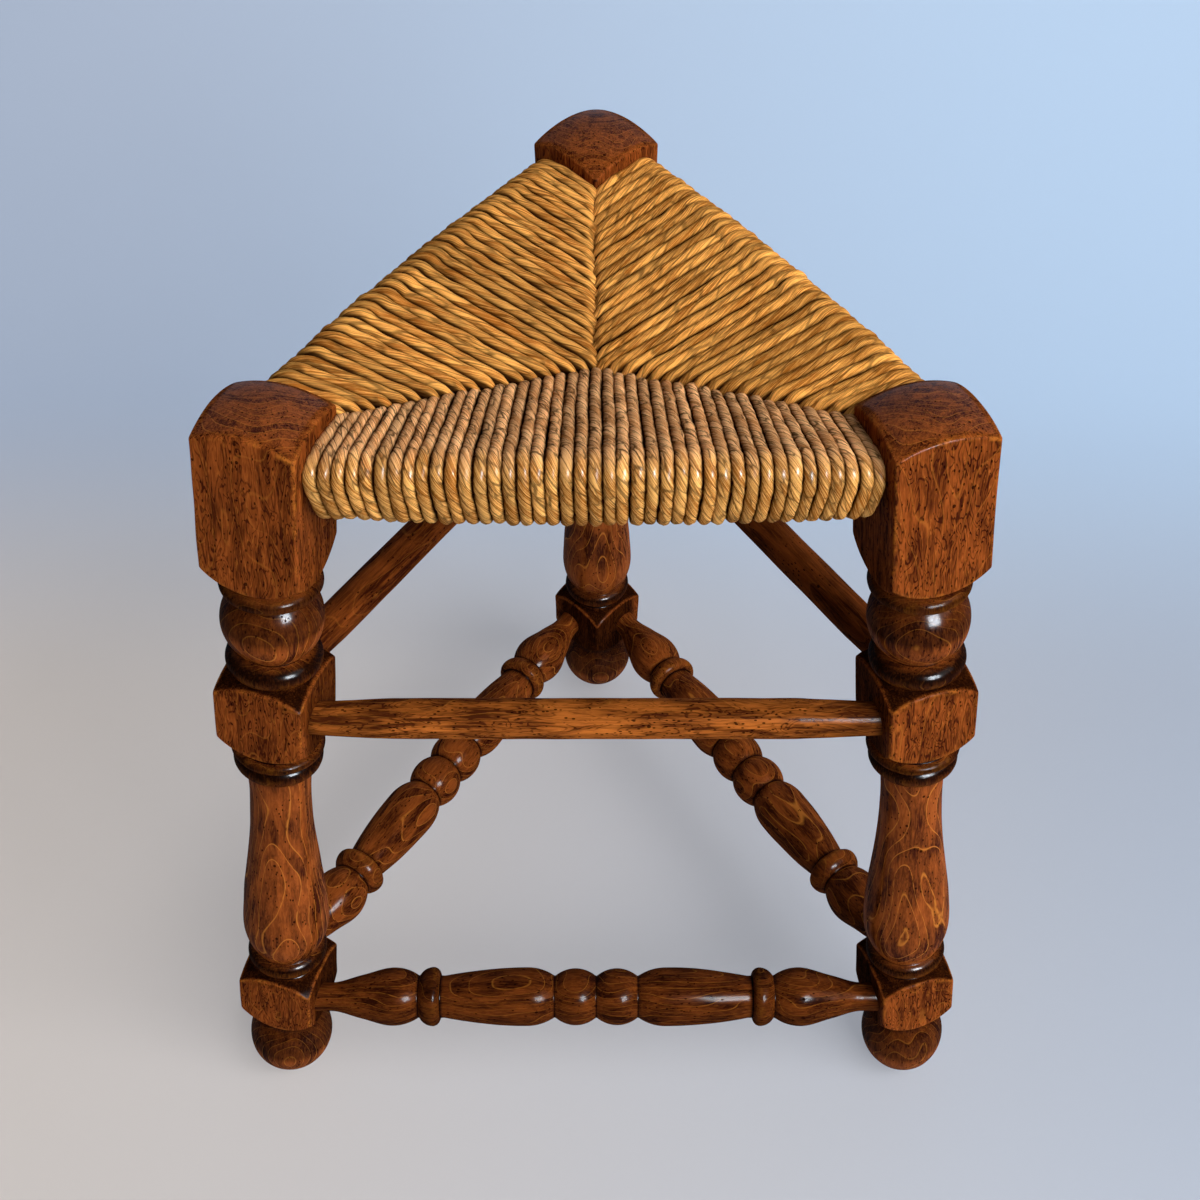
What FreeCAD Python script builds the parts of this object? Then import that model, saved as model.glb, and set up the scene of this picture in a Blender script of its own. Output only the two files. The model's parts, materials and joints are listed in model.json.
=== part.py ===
"""Three-legged fireside stool: turned legs, plain rungs, turned stretchers and a rush seat, in millimetres."""
import FreeCAD, Part
import math
import os

Vector = FreeCAD.Vector

# Stance: three equal legs lean outwards to the floor, the first at the front left.
leg_count = 3
first_leg_deg = 210.0
leg_lean_deg = 6.4
foot_circle_r = 201.8

# Foot of a leg, a bun with its widest part above a small worn flat.
foot_flat_r = 10.5
foot_r = 22.5
foot_widest_h = 22.3
foot_h = 41.0
foot_neck_r = 16.0

# Lower block and the ring above it.
low_neck_h = 5.0
low_block_side = 40.2
low_shoulder_h = 13.9
low_block_h = 22.0
low_cap_h = 7.9
low_cap_r = 16.5
low_gap_h = 2.5
low_ring_h = 10.0
low_ring_r = 20.75

# Long vase between the lower and the middle block.
vase_h = 138.3
vase_foot_r = 17.0
vase_belly_r = 22.15
vase_belly_h = 21.7
vase_waist_r = 14.8
vase_neck_r = 15.3

# Two rings under the middle block, and the block.
wide_ring_h = 10.8
wide_ring_r = 21.15
thin_ring_h = 5.2
thin_ring_r = 22.15
mid_neck_h = 1.9
mid_neck_r = 18.5
mid_block_side = 42.2
mid_shoulder_h = 11.3
mid_block_h = 26.5
mid_cap_h = 7.2
mid_cap_r = 17.5

# Ring, ball and ring between the middle block and the pommel.
under_ball_ring_h = 12.0
under_ball_ring_r = 21.9
ball_h = 34.5
ball_r = 23.0
ball_end_r = 15.0
over_ball_ring_h = 7.6
over_ball_ring_r = 22.8

# Pommel, the top block with its domed end.
top_neck_h = 0.9
top_neck_r = 18.0
top_block_side = 44.6
top_shoulder_h = 12.3
top_block_h = 64.3
dome_r = 57.0

# Worn edges and the bow of the turned shoulders.
arris_r = 1.2
bead_round_share = 0.9
shoulder_bow_share = 0.07

# Plain upper rungs, thinner towards their ends, which stand in round sockets. A stick's height is told
# up the leg from the lower corners of its block, and its outset from the line between the leg axes.
rung_up = 8.4
rung_outset = 9.6
rung_r = 9.45
rung_end_r = 7.8
rung_taper_l = 36.0
rung_socket_depth = 18.0

# Turned lower stretchers, told from the middle outwards.
stretcher_up = 6.5
stretcher_outset = 10.5
bead_l = 22.5
bead_r = 15.1
groove_r = 10.9
baluster_l = 59.5
baluster_belly_l = 14.8
baluster_r = 15.5
baluster_end_r = 11.2
collar_cove_l = 2.6
collar_l = 11.5
collar_r = 15.6
bulb_belly_l = 14.3
bulb_r = 15.5
stretcher_neck_l = 6.0
stretcher_neck_r = 7.55
stretcher_socket_depth = 18.0

# Seat rails, hidden in the rush, with a shouldered tenon at each end.
rail_up = 43.8
rail_outset = 6.2
rail_r = 10.5
rail_tenon_r = 6.0
rail_tenon_l = 14.0
rail_shoulder_l = 4.0
rail_bare_l = 4.5

# Rush: one wrapped layer over the rails and the stuffing between its top and bottom.
strand_d = 5.5
seat_middle_drop = 6.0
seat_middle_thickness = 18.0

# Clearances: a driven stick end in its socket, a socket's bottom, and soft work beside its neighbours.
socket_fit = 0.1
socket_bottom_room = 0.6
soft_fit = 0.3

leg_step_deg = 360.0 / leg_count
lean = math.radians(leg_lean_deg)
half_step = math.radians(leg_step_deg / 2)
# A stick meets its block's face this far off square, because a block corner points to the middle.
face_turn = math.radians(45.0) - (math.radians(90.0) - half_step)


class Outline:
    """A chain of edges in a half plane, told as radius and height along the turning axis."""

    def __init__(self, radius, height):
        self.start = (radius, height)
        self.at = (radius, height)
        self.edges = []

    def point(self, radius, height):
        return Vector(radius, 0, height)

    def line_to(self, radius, height):
        """Goes straight to a point, or nowhere if it is already there."""
        if math.dist(self.at, (radius, height)) > 0:
            self.edges.append(Part.LineSegment(self.point(*self.at), self.point(radius, height)).toShape())
        self.at = (radius, height)

    def arc_to(self, radius, height, through):
        """Goes along a circle through a middle point."""
        arc = Part.Arc(self.point(*self.at), self.point(*through), self.point(radius, height))
        self.edges.append(arc.toShape())
        self.at = (radius, height)

    def swell_to(self, radius, height):
        """Rounds out or in to a point where the outline runs along the axis."""
        self.arc_to(radius, height, self.upright_middle((radius, height), self.at))

    def shrink_to(self, radius, height):
        """Rounds away from a point where the outline runs along the axis."""
        self.arc_to(radius, height, self.upright_middle(self.at, (radius, height)))

    def upright_middle(self, upright, other):
        """Middle of the circle arc between two points that runs along the axis at the first."""
        drop = upright[0] - other[0]
        rise = other[1] - upright[1]
        arc_r = (drop * drop + rise * rise) / (2 * drop)
        half = math.atan2(rise, abs(arc_r) - abs(drop)) / 2
        return upright[0] - arc_r + arc_r * math.cos(half), upright[1] + abs(arc_r) * math.sin(half)

    def bow_to(self, radius, height, bow_share):
        """Goes along a flat arc that swells to the left of its chord by a share of its length."""
        across = (height - self.at[1], self.at[0] - radius)
        middle = ((self.at[0] + radius) / 2, (self.at[1] + height) / 2)
        self.arc_to(radius, height, (middle[0] + bow_share * across[0], middle[1] + bow_share * across[1]))

    def curve_to(self, points):
        """Goes along one smooth curve that leaves and arrives along the axis."""
        curve = Part.BSplineCurve()
        along = Vector(0, 0, 1)
        curve.interpolate(Points=[self.point(*p) for p in [self.at] + points],
                          InitialTangent=along, FinalTangent=along)
        self.edges.append(curve.toShape())
        self.at = points[-1]

    def bead(self, radius, height):
        """Adds a turned ring that stands on the present height."""
        base = self.at[1]
        lip = radius - bead_round_share * height / 2
        self.line_to(lip, base)
        self.swell_to(radius, base + height / 2)
        self.shrink_to(lip, base + height)

    def turned(self):
        """The closed outline turned a full round about the axis."""
        self.line_to(0, self.at[1])
        self.line_to(*self.start)
        face = Part.Face(Part.Wire(self.edges))
        return face.revolve(Vector(0, 0, 0), Vector(0, 0, 1), 360)


def half_diagonal(side):
    return side / math.sqrt(2)


def leg_stations():
    """Heights along the leg where each block's shoulders start and end: (start, low, high, end)."""
    low_start = foot_h + low_neck_h
    low_low = low_start + low_shoulder_h
    low_high = low_low + low_block_h
    low_end = low_high + low_cap_h
    mid_start = low_end + low_gap_h + low_ring_h + vase_h + wide_ring_h + thin_ring_h + mid_neck_h
    mid_low = mid_start + mid_shoulder_h
    mid_high = mid_low + mid_block_h
    mid_end = mid_high + mid_cap_h
    top_start = mid_end + under_ball_ring_h + ball_h + over_ball_ring_h + top_neck_h
    top_low = top_start + top_shoulder_h
    top_high = top_low + top_block_h
    corner_r = half_diagonal(top_block_side)
    top_end = top_high + dome_r - math.sqrt(dome_r ** 2 - corner_r ** 2)
    return ((low_start, low_low, low_high, low_end), (mid_start, mid_low, mid_high, mid_end),
            (top_start, top_low, top_high, top_end))


def block_corners(outline, side, low, high):
    """Bows out to a block's lower corners and goes up its corner line."""
    outline.bow_to(half_diagonal(side), low, shoulder_bow_share)
    outline.line_to(half_diagonal(side), high)


def turned_leg():
    """The whole leg as if its blocks were round to their corners."""
    (low_start, low_low, low_high, low_end), (mid_start, mid_low, mid_high, mid_end), top = leg_stations()
    top_start, top_low, top_high, top_end = top
    foot_drop = foot_r - foot_flat_r
    foot_arc_r = (foot_drop ** 2 + foot_widest_h ** 2) / (2 * foot_drop)
    outline = Outline(0, foot_widest_h - math.sqrt(foot_arc_r ** 2 - (foot_arc_r - foot_r) ** 2))
    outline.swell_to(foot_r, foot_widest_h)
    outline.shrink_to(foot_neck_r, foot_h)
    outline.line_to(foot_neck_r, low_start)
    block_corners(outline, low_block_side, low_low, low_high)
    outline.bow_to(low_cap_r, low_end, shoulder_bow_share)
    outline.line_to(low_cap_r, low_end + low_gap_h)
    outline.bead(low_ring_r, low_ring_h)
    vase_low = outline.at[1]
    outline.line_to(vase_foot_r, vase_low)
    outline.swell_to(vase_belly_r, vase_low + vase_belly_h)
    outline.curve_to(vase_points(vase_low))
    outline.bead(wide_ring_r, wide_ring_h)
    outline.bead(thin_ring_r, thin_ring_h)
    outline.line_to(mid_neck_r, outline.at[1])
    outline.line_to(mid_neck_r, mid_start)
    block_corners(outline, mid_block_side, mid_low, mid_high)
    outline.bow_to(mid_cap_r, mid_end, shoulder_bow_share)
    outline.bead(under_ball_ring_r, under_ball_ring_h)
    ball_low = outline.at[1]
    outline.line_to(ball_end_r, ball_low)
    outline.swell_to(ball_r, ball_low + ball_h / 2)
    outline.shrink_to(ball_end_r, ball_low + ball_h)
    outline.bead(over_ball_ring_r, over_ball_ring_h)
    outline.line_to(top_neck_r, outline.at[1])
    outline.line_to(top_neck_r, top_start)
    block_corners(outline, top_block_side, top_low, top_high)
    half = math.asin(half_diagonal(top_block_side) / dome_r) / 2
    dome_middle = top_end - dome_r
    outline.arc_to(0, top_end, (dome_r * math.sin(half), dome_middle + dome_r * math.cos(half)))
    return outline.turned()


def vase_points(vase_low):
    """Points up the vase from its belly to its neck, as shares of its length and of its narrowing."""
    length = vase_h - vase_belly_h
    belly = vase_low + vase_belly_h
    narrowing = vase_belly_r - vase_waist_r
    up_shares = (0.17, 0.34, 0.51, 0.68, 0.84)
    narrow_shares = (0.15, 0.45, 0.75, 0.94, 1.0)
    points = [(vase_belly_r - n * narrowing, belly + u * length) for u, n in zip(up_shares, narrow_shares)]
    return points + [(vase_neck_r, belly + length)]


def square_prism(side, low, high, edge_r):
    """A square bar along the leg axis with a corner pointing outwards."""
    bar = Part.makeBox(side, side, high - low, Vector(-side / 2, -side / 2, low))
    if edge_r > 0:
        upright_share = 0.9
        uprights = [e for e in bar.Edges if abs(e.tangentAt(e.FirstParameter).z) > upright_share]
        bar = bar.makeFillet(edge_r, uprights)
    bar.rotate(Vector(0, 0, 0), Vector(0, 0, 1), 45.0)
    return bar


def place_leg(shape, index):
    """Leans a shape told in the leg's own frame and stands it at its place round the middle."""
    shape.rotate(Vector(0, 0, 0), Vector(0, 1, 0), -leg_lean_deg)
    shape.translate(Vector(foot_circle_r, 0, 0))
    shape.rotate(Vector(0, 0, 0), Vector(0, 0, 1), first_leg_deg + index * leg_step_deg)
    return shape


def bare_leg():
    """Turned leg with its three blocks cut square and its foot cut level with the floor."""
    blocks = leg_stations()
    sides = (low_block_side, mid_block_side, top_block_side)
    wide = 2 * max(foot_r, half_diagonal(max(sides)))
    below = blocks[0][0] - 2 * foot_h
    stock = []
    for side, (start, low, high, end) in zip(sides, blocks):
        stock.append(Part.makeCylinder(wide, start - below, Vector(0, 0, below)))
        stock.append(square_prism(side, start, end, arris_r))
        below = end
    leg = place_leg(turned_leg().common(stock[0].multiFuse(stock[1:])), 0)
    floor = Part.makeBox(2 * foot_circle_r, 2 * foot_circle_r, foot_h)
    floor.translate(Vector(-2 * foot_circle_r, -2 * foot_circle_r, -foot_h))
    return leg.cut(floor)


class Stick:
    """A bar that joins two neighbouring legs, told for the front pair and turned to the other sides."""

    def __init__(self, up_leg, outset, side, depth, end_r):
        leg_r = foot_circle_r - math.sin(lean) * up_leg
        self.height = math.cos(lean) * up_leg
        self.out = leg_r * math.cos(half_step) + outset
        self.depth = depth
        self.end_r = end_r
        face_in = (side / 2 - math.sin(face_turn) * outset) / math.cos(face_turn)
        self.free_half = leg_r * math.sin(half_step) - face_in
        self.half = self.free_half + depth

    def lay(self, shape, index):
        """Lays a shape told along +Z from the stick's middle between the legs, then turns it to a side."""
        shape.rotate(Vector(0, 0, 0), Vector(0, 1, 0), 90.0)
        shape.translate(Vector(0, -self.out, self.height))
        shape.rotate(Vector(0, 0, 0), Vector(0, 0, 1), index * leg_step_deg)
        return shape

    def bar(self, half_outline, index):
        """Turns a half outline told from the middle outwards, mirrors it and lays it in place."""
        half_bar = half_outline.turned()
        other = half_bar.mirror(Vector(0, 0, 0), Vector(0, 0, 1))
        return self.lay(half_bar.fuse(other).removeSplitter(), index)

    def sockets(self, index):
        """Both sockets of the stick, reaching from its ends to the free length."""
        radius = self.end_r + socket_fit
        length = self.depth + socket_bottom_room + 2 * self.end_r
        low = Part.makeCylinder(radius, length, Vector(0, 0, -self.half - socket_bottom_room))
        high = Part.makeCylinder(radius, length, Vector(0, 0, self.half + socket_bottom_room - length))
        return [self.lay(low, index), self.lay(high, index)]


low_block, mid_block, top_block = leg_stations()
rung = Stick(mid_block[1] + rung_up, rung_outset, mid_block_side, rung_socket_depth, rung_end_r)
stretcher = Stick(low_block[1] + stretcher_up, stretcher_outset, low_block_side, stretcher_socket_depth,
                  stretcher_neck_r)
rail = Stick(top_block[1] + rail_up, rail_outset, top_block_side, rail_tenon_l, rail_tenon_r)
seat_middle_z = rail.height - seat_middle_drop


def rung_bar(index):
    """Plain round rung that thins towards its ends."""
    outline = Outline(0, 0)
    outline.line_to(rung_r, 0)
    outline.line_to(rung_r, rung.free_half - rung_taper_l)
    outline.line_to(rung_end_r, rung.free_half)
    outline.line_to(rung_end_r, rung.half)
    return rung.bar(outline, index)


def stretcher_bar(index):
    """Turned stretcher: bead, baluster, collar with a cove, and a bulb that runs out to the neck."""
    outline = Outline(0, 0)
    outline.line_to(groove_r, 0)
    outline.swell_to(bead_r, bead_l / 2)
    outline.shrink_to(groove_r, bead_l)
    outline.swell_to(baluster_r, bead_l + baluster_belly_l)
    baluster_end = bead_l + baluster_l
    outline.shrink_to(baluster_end_r, baluster_end)
    outline.line_to(baluster_end_r, baluster_end + collar_cove_l)
    collar_end = baluster_end + collar_cove_l + collar_l
    collar_lip = collar_r - bead_round_share * (collar_r - baluster_end_r)
    outline.line_to(collar_lip, outline.at[1])
    outline.swell_to(collar_r, outline.at[1] + (collar_r - collar_lip))
    outline.shrink_to(groove_r, collar_end)
    outline.swell_to(bulb_r, collar_end + bulb_belly_l)
    neck_start = stretcher.free_half - stretcher_neck_l
    middle = ((bulb_r + stretcher_neck_r) / 2, (collar_end + bulb_belly_l + neck_start) / 2)
    outline.curve_to([middle, (stretcher_neck_r, neck_start)])
    outline.line_to(stretcher_neck_r, stretcher.half)
    return stretcher.bar(outline, index)


def rail_bar(index):
    """Round seat rail with a bare shoulder and a tenon at each end."""
    outline = Outline(0, 0)
    outline.line_to(rail_r, 0)
    outline.line_to(rail_r, rail.free_half - rail_bare_l - rail_shoulder_l)
    outline.line_to(rail_tenon_r, rail.free_half - rail_bare_l)
    outline.line_to(rail_tenon_r, rail.half)
    return rail.bar(outline, index)


def tangent_point(out, height, radius, side):
    """Point where a line from the seat's middle touches a circle round the rail, above or below it."""
    reach = math.hypot(out, rail.height - height)
    run = math.sqrt(reach ** 2 - radius ** 2)
    angle = math.atan2(rail.height - height, out) + side * math.asin(radius / reach)
    return run * math.cos(angle), height + run * math.sin(angle)


def wrapped_section(radius, top, bottom):
    """Bar along the front rail whose section wraps the rail and narrows to the seat's middle."""
    def at(out, height):
        return Vector(-foot_circle_r, -out, height)
    over = tangent_point(rail.out, top, radius, 1)
    under = tangent_point(rail.out, bottom, radius, -1)
    edges = [Part.LineSegment(at(0, bottom), at(0, top)).toShape(),
             Part.LineSegment(at(0, top), at(*over)).toShape(),
             Part.Arc(at(*over), at(rail.out + radius, rail.height), at(*under)).toShape(),
             Part.LineSegment(at(*under), at(0, bottom)).toShape()]
    return Part.Face(Part.Wire(edges)).extrude(Vector(2 * foot_circle_r, 0, 0))


def wedge(gap):
    """Upright wedge between two seams, held clear of both by a gap, ending at the leg axes."""
    tip = gap / math.sin(half_step)
    half_width = rail.free_half + top_block_side / 2
    out = half_width / math.tan(half_step) + tip
    far = rail.out + top_block_side
    corners = [(0, -tip), (-half_width, -out), (-half_width, -far), (half_width, -far), (half_width, -out)]
    points = [Vector(x, y, 0) for x, y in corners]
    face = Part.Face(Part.makePolygon(points + points[:1]))
    return face.extrude(Vector(0, 0, 2 * rail.height))


def pommel_room(index):
    """The pommel's square with room round it, which the soft work stays out of."""
    start, low, high, end = leg_stations()[2]
    return place_leg(square_prism(top_block_side + 2 * soft_fit, start, end, 0), index)


def turned_to_side(shape, index):
    shape.rotate(Vector(0, 0, 0), Vector(0, 0, 1), index * leg_step_deg)
    return shape


def rush_panel(index):
    """One side of the rush: top layer, roll round the rail and bottom layer, as one skin."""
    bottom = seat_middle_z - seat_middle_thickness
    inner_r = rail_r + soft_fit
    panel = wrapped_section(inner_r + strand_d, seat_middle_z, bottom)
    panel = panel.cut(wrapped_section(inner_r, seat_middle_z - strand_d, bottom + strand_d))
    panel = panel.common(wedge(soft_fit / 2)).cut(pommel_room(0)).cut(pommel_room(1))
    return turned_to_side(panel, index)


def stuffing_pad(index):
    """Loose rush packed between the two layers, from behind the rail to the seat's middle."""
    top = seat_middle_z - strand_d - soft_fit
    bottom = seat_middle_z - seat_middle_thickness + strand_d + soft_fit
    pad = wrapped_section(rail_r, top, bottom)
    depth = rail.out - rail_r - soft_fit
    behind_rail = Part.makeBox(2 * foot_circle_r, depth, 2 * rail.height, Vector(-foot_circle_r, -depth, 0))
    pad = pad.common(behind_rail).common(wedge(soft_fit)).cut(pommel_room(0)).cut(pommel_room(1))
    return turned_to_side(pad, index)


def finished_leg():
    """The first leg with the sockets of the two sticks of each kind that it carries."""
    leg = bare_leg()
    for stick in (rung, stretcher, rail):
        for index in (0, leg_count - 1):
            for socket in stick.sockets(index):
                leg = leg.cut(socket)
    return leg


leg_names = ("front_left", "front_right", "back")
side_names = ("front", "right", "left")
parts = {}
first_leg = finished_leg()
for leg_index, leg_name in enumerate(leg_names):
    parts["leg_" + leg_name] = turned_to_side(first_leg.copy(), leg_index)
for side_index, side_name in enumerate(side_names):
    parts["seat_rail_" + side_name] = rail_bar(side_index)
    parts["rung_" + side_name] = rung_bar(side_index)
    parts["stretcher_" + side_name] = stretcher_bar(side_index)
    parts["rush_" + side_name] = rush_panel(side_index)
    parts["stuffing_" + side_name] = stuffing_pad(side_index)

# The origin is on the floor under the middle of the legs' box, so everything moves by its offset.
boxes = [parts["leg_" + leg_name].optimalBoundingBox(False, False) for leg_name in leg_names]
middle_x = (min(b.XMin for b in boxes) + max(b.XMax for b in boxes)) / 2
middle_y = (min(b.YMin for b in boxes) + max(b.YMax for b in boxes)) / 2

os.makedirs("parts", exist_ok=True)
for name, solid in parts.items():
    solid.translate(Vector(-middle_x, -middle_y, 0))
    solid.exportStep(f"parts/{name}.step")
    print(name, len(solid.Solids), "solid", solid.isValid(), round(solid.Volume), "mm3")
print("moved by", round(-middle_x, 3), round(-middle_y, 3))
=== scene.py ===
"""Looks of a three-legged fireside stool with waxed turned legs and a twisted rush seat."""
import json
import logging
import math
from dataclasses import dataclass, field
from enum import Enum
from typing import Any

import bpy
import numpy as np
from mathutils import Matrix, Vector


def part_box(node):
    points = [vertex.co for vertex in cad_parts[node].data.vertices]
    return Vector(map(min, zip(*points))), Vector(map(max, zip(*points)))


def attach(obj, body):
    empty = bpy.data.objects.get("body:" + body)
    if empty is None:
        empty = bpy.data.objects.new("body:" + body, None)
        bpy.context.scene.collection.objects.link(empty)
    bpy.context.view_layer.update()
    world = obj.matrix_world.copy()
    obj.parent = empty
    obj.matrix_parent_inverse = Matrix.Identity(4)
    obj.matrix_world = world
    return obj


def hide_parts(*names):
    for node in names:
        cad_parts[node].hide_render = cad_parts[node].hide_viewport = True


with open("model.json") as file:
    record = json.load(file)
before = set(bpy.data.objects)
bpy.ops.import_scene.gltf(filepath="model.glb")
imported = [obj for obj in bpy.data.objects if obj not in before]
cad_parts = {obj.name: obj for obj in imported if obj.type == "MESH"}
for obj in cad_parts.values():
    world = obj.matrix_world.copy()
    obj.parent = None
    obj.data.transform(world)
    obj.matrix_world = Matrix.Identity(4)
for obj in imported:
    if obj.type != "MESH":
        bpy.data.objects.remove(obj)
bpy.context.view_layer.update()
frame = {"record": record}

log = logging.getLogger("stool")
MM = 0.001
BODY = "root"
FLOAT = "NodeSocketFloat"
VECTOR = "NodeSocketVector"
Colour = tuple[float, float, float]
Place = tuple[float, float, float]
Ramp = tuple[float, float, float, float]
Socket = bpy.types.NodeSocket
Grids = dict[str, np.ndarray]


class Corner(Enum):
    """The three legs, numbered round the stool."""

    FRONT_LEFT = 0
    FRONT_RIGHT = 1
    BACK = 2


class Side(Enum):
    """The three sides between the legs, numbered round the stool."""

    FRONT = 0
    RIGHT = 1
    LEFT = 2


class Stretch(Enum):
    """What a stretch of a leg's outline is: fully turned, or part of a square block."""

    ROUND = 0
    SHOULDER = 1
    FACE = 2
    CAP = 3


def smooth_step(low: float, high: float, values: np.ndarray) -> np.ndarray:
    """Eases values from 0 at low to 1 at high.

    Args:
        low: Value that gives 0.
        high: Value that gives 1, which may be below low.
        values: Values to ease.

    Returns:
        Eased values between 0 and 1.
    """
    share = np.clip((values - low) / (high - low), 0.0, 1.0)
    return share * share * (3.0 - 2.0 * share)


def ripple(points: np.ndarray, wavelength: float, seed: int, waves: int = 9) -> np.ndarray:
    """Smooth unevenness in space, of about unit size.

    Args:
        points: Points with three coordinates in the last axis.
        wavelength: Usual distance between swells, in the points' unit.
        seed: Picks the pattern.
        waves: How many waves are added up.

    Returns:
        One value for each point.
    """
    rng = np.random.default_rng(seed)
    directions = rng.normal(size=(3, waves))
    directions /= np.linalg.norm(directions, axis=0)
    pace = 2.0 * math.pi / wavelength * rng.uniform(0.6, 1.5, waves)
    phases = rng.uniform(0.0, 2.0 * math.pi, waves)
    return np.sin(points @ (directions * pace) + phases).sum(axis=-1) / math.sqrt(waves)


def read_line(places: np.ndarray, marks: np.ndarray, line: np.ndarray) -> np.ndarray:
    """Reads points off a polyline in the plane.

    Args:
        places: Where to read it.
        marks: How far along it each of its own points lies.
        line: Its points.

    Returns:
        One point for each place.
    """
    return np.stack([np.interp(places, marks, line[:, axis]) for axis in (0, 1)], axis=-1)


def turned_about_z(points: np.ndarray, degrees: float) -> np.ndarray:
    """Turns points about the upright axis through the origin.

    Args:
        points: Points with three coordinates in the last axis.
        degrees: Angle, counter-clockwise seen from above.

    Returns:
        The turned points.
    """
    angle = math.radians(degrees)
    matrix = np.array([[math.cos(angle), -math.sin(angle), 0.0],
                       [math.sin(angle), math.cos(angle), 0.0],
                       [0.0, 0.0, 1.0]])
    return points @ matrix.T


@dataclass(frozen=True)
class Stance:
    """Where the legs stand round the stool's middle, in millimetres and degrees."""

    middle_y: float
    foot_circle_r: float
    lean_deg: float = 6.4
    first_leg_deg: float = 210.0
    step_deg: float = 120.0

    @classmethod
    def from_record(cls, record: dict[str, Any]) -> "Stance":
        """Reads the stance off the feet's mounts.

        Args:
            record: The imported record.

        Returns:
            The stance with its middle and its foot circle.
        """
        feet = np.array([mount["pos_m"] for mount in record["mounts"]]) / MM
        middle = feet.mean(axis=0)
        reach = np.linalg.norm((feet - middle)[:, :2], axis=1)
        return cls(middle_y=float(middle[1]), foot_circle_r=float(reach.mean()))

    def leg_to_frame(self, points: np.ndarray, corner: Corner) -> np.ndarray:
        """Stands points told in a leg's own frame at their place in the frame.

        Args:
            points: Points whose z runs up the leg and whose x points away from the middle.
            corner: Which leg.

        Returns:
            Points in the frame, in millimetres.
        """
        lean = math.radians(self.lean_deg)
        tilt = np.array([[math.cos(lean), 0.0, -math.sin(lean)],
                         [0.0, 1.0, 0.0],
                         [math.sin(lean), 0.0, math.cos(lean)]])
        leaning = points @ tilt.T + np.array([self.foot_circle_r, 0.0, 0.0])
        return self.side_to_frame(turned_about_z(leaning, self.first_leg_deg), corner.value)

    def side_to_frame(self, points: np.ndarray, step: int) -> np.ndarray:
        """Turns points told round the middle of the front side to another side.

        Args:
            points: Points round the stool's middle axis.
            step: How many thirds of a turn.

        Returns:
            Points in the frame, in millimetres.
        """
        return turned_about_z(points, step * self.step_deg) + np.array([0.0, self.middle_y, 0.0])

    def rail_place(self) -> tuple[float, float]:
        """How far out from the middle and how high the front seat rail lies."""
        low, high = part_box("seat_rail_front")
        return self.middle_y - (low.y + high.y) / 2.0 / MM, (low.z + high.z) / 2.0 / MM


class Value:
    """One node's output, with sums that add Math nodes to its tree."""

    def __init__(self, wires: "Wiring", socket: Socket) -> None:
        """Keeps the socket and the wiring of its tree."""
        self.wires = wires
        self.socket = socket

    def __add__(self, other: Any) -> "Value":
        """Gives the sum."""
        return self.wires.math("ADD", self, other)

    def __sub__(self, other: Any) -> "Value":
        """Gives the difference."""
        return self.wires.math("SUBTRACT", self, other)

    def __rsub__(self, other: float) -> "Value":
        """Gives how much larger a number is."""
        return self.wires.math("SUBTRACT", other, self)

    def __mul__(self, other: Any) -> "Value":
        """Gives the product."""
        return self.wires.math("MULTIPLY", self, other)

    def __truediv__(self, other: Any) -> "Value":
        """Gives the quotient."""
        return self.wires.math("DIVIDE", self, other)

    def __abs__(self) -> "Value":
        """Gives the amount without its sign."""
        return self.wires.math("ABSOLUTE", self)

    def most(self, other: Any) -> "Value":
        """Gives the larger of the two."""
        return self.wires.math("MAXIMUM", self, other)


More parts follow.
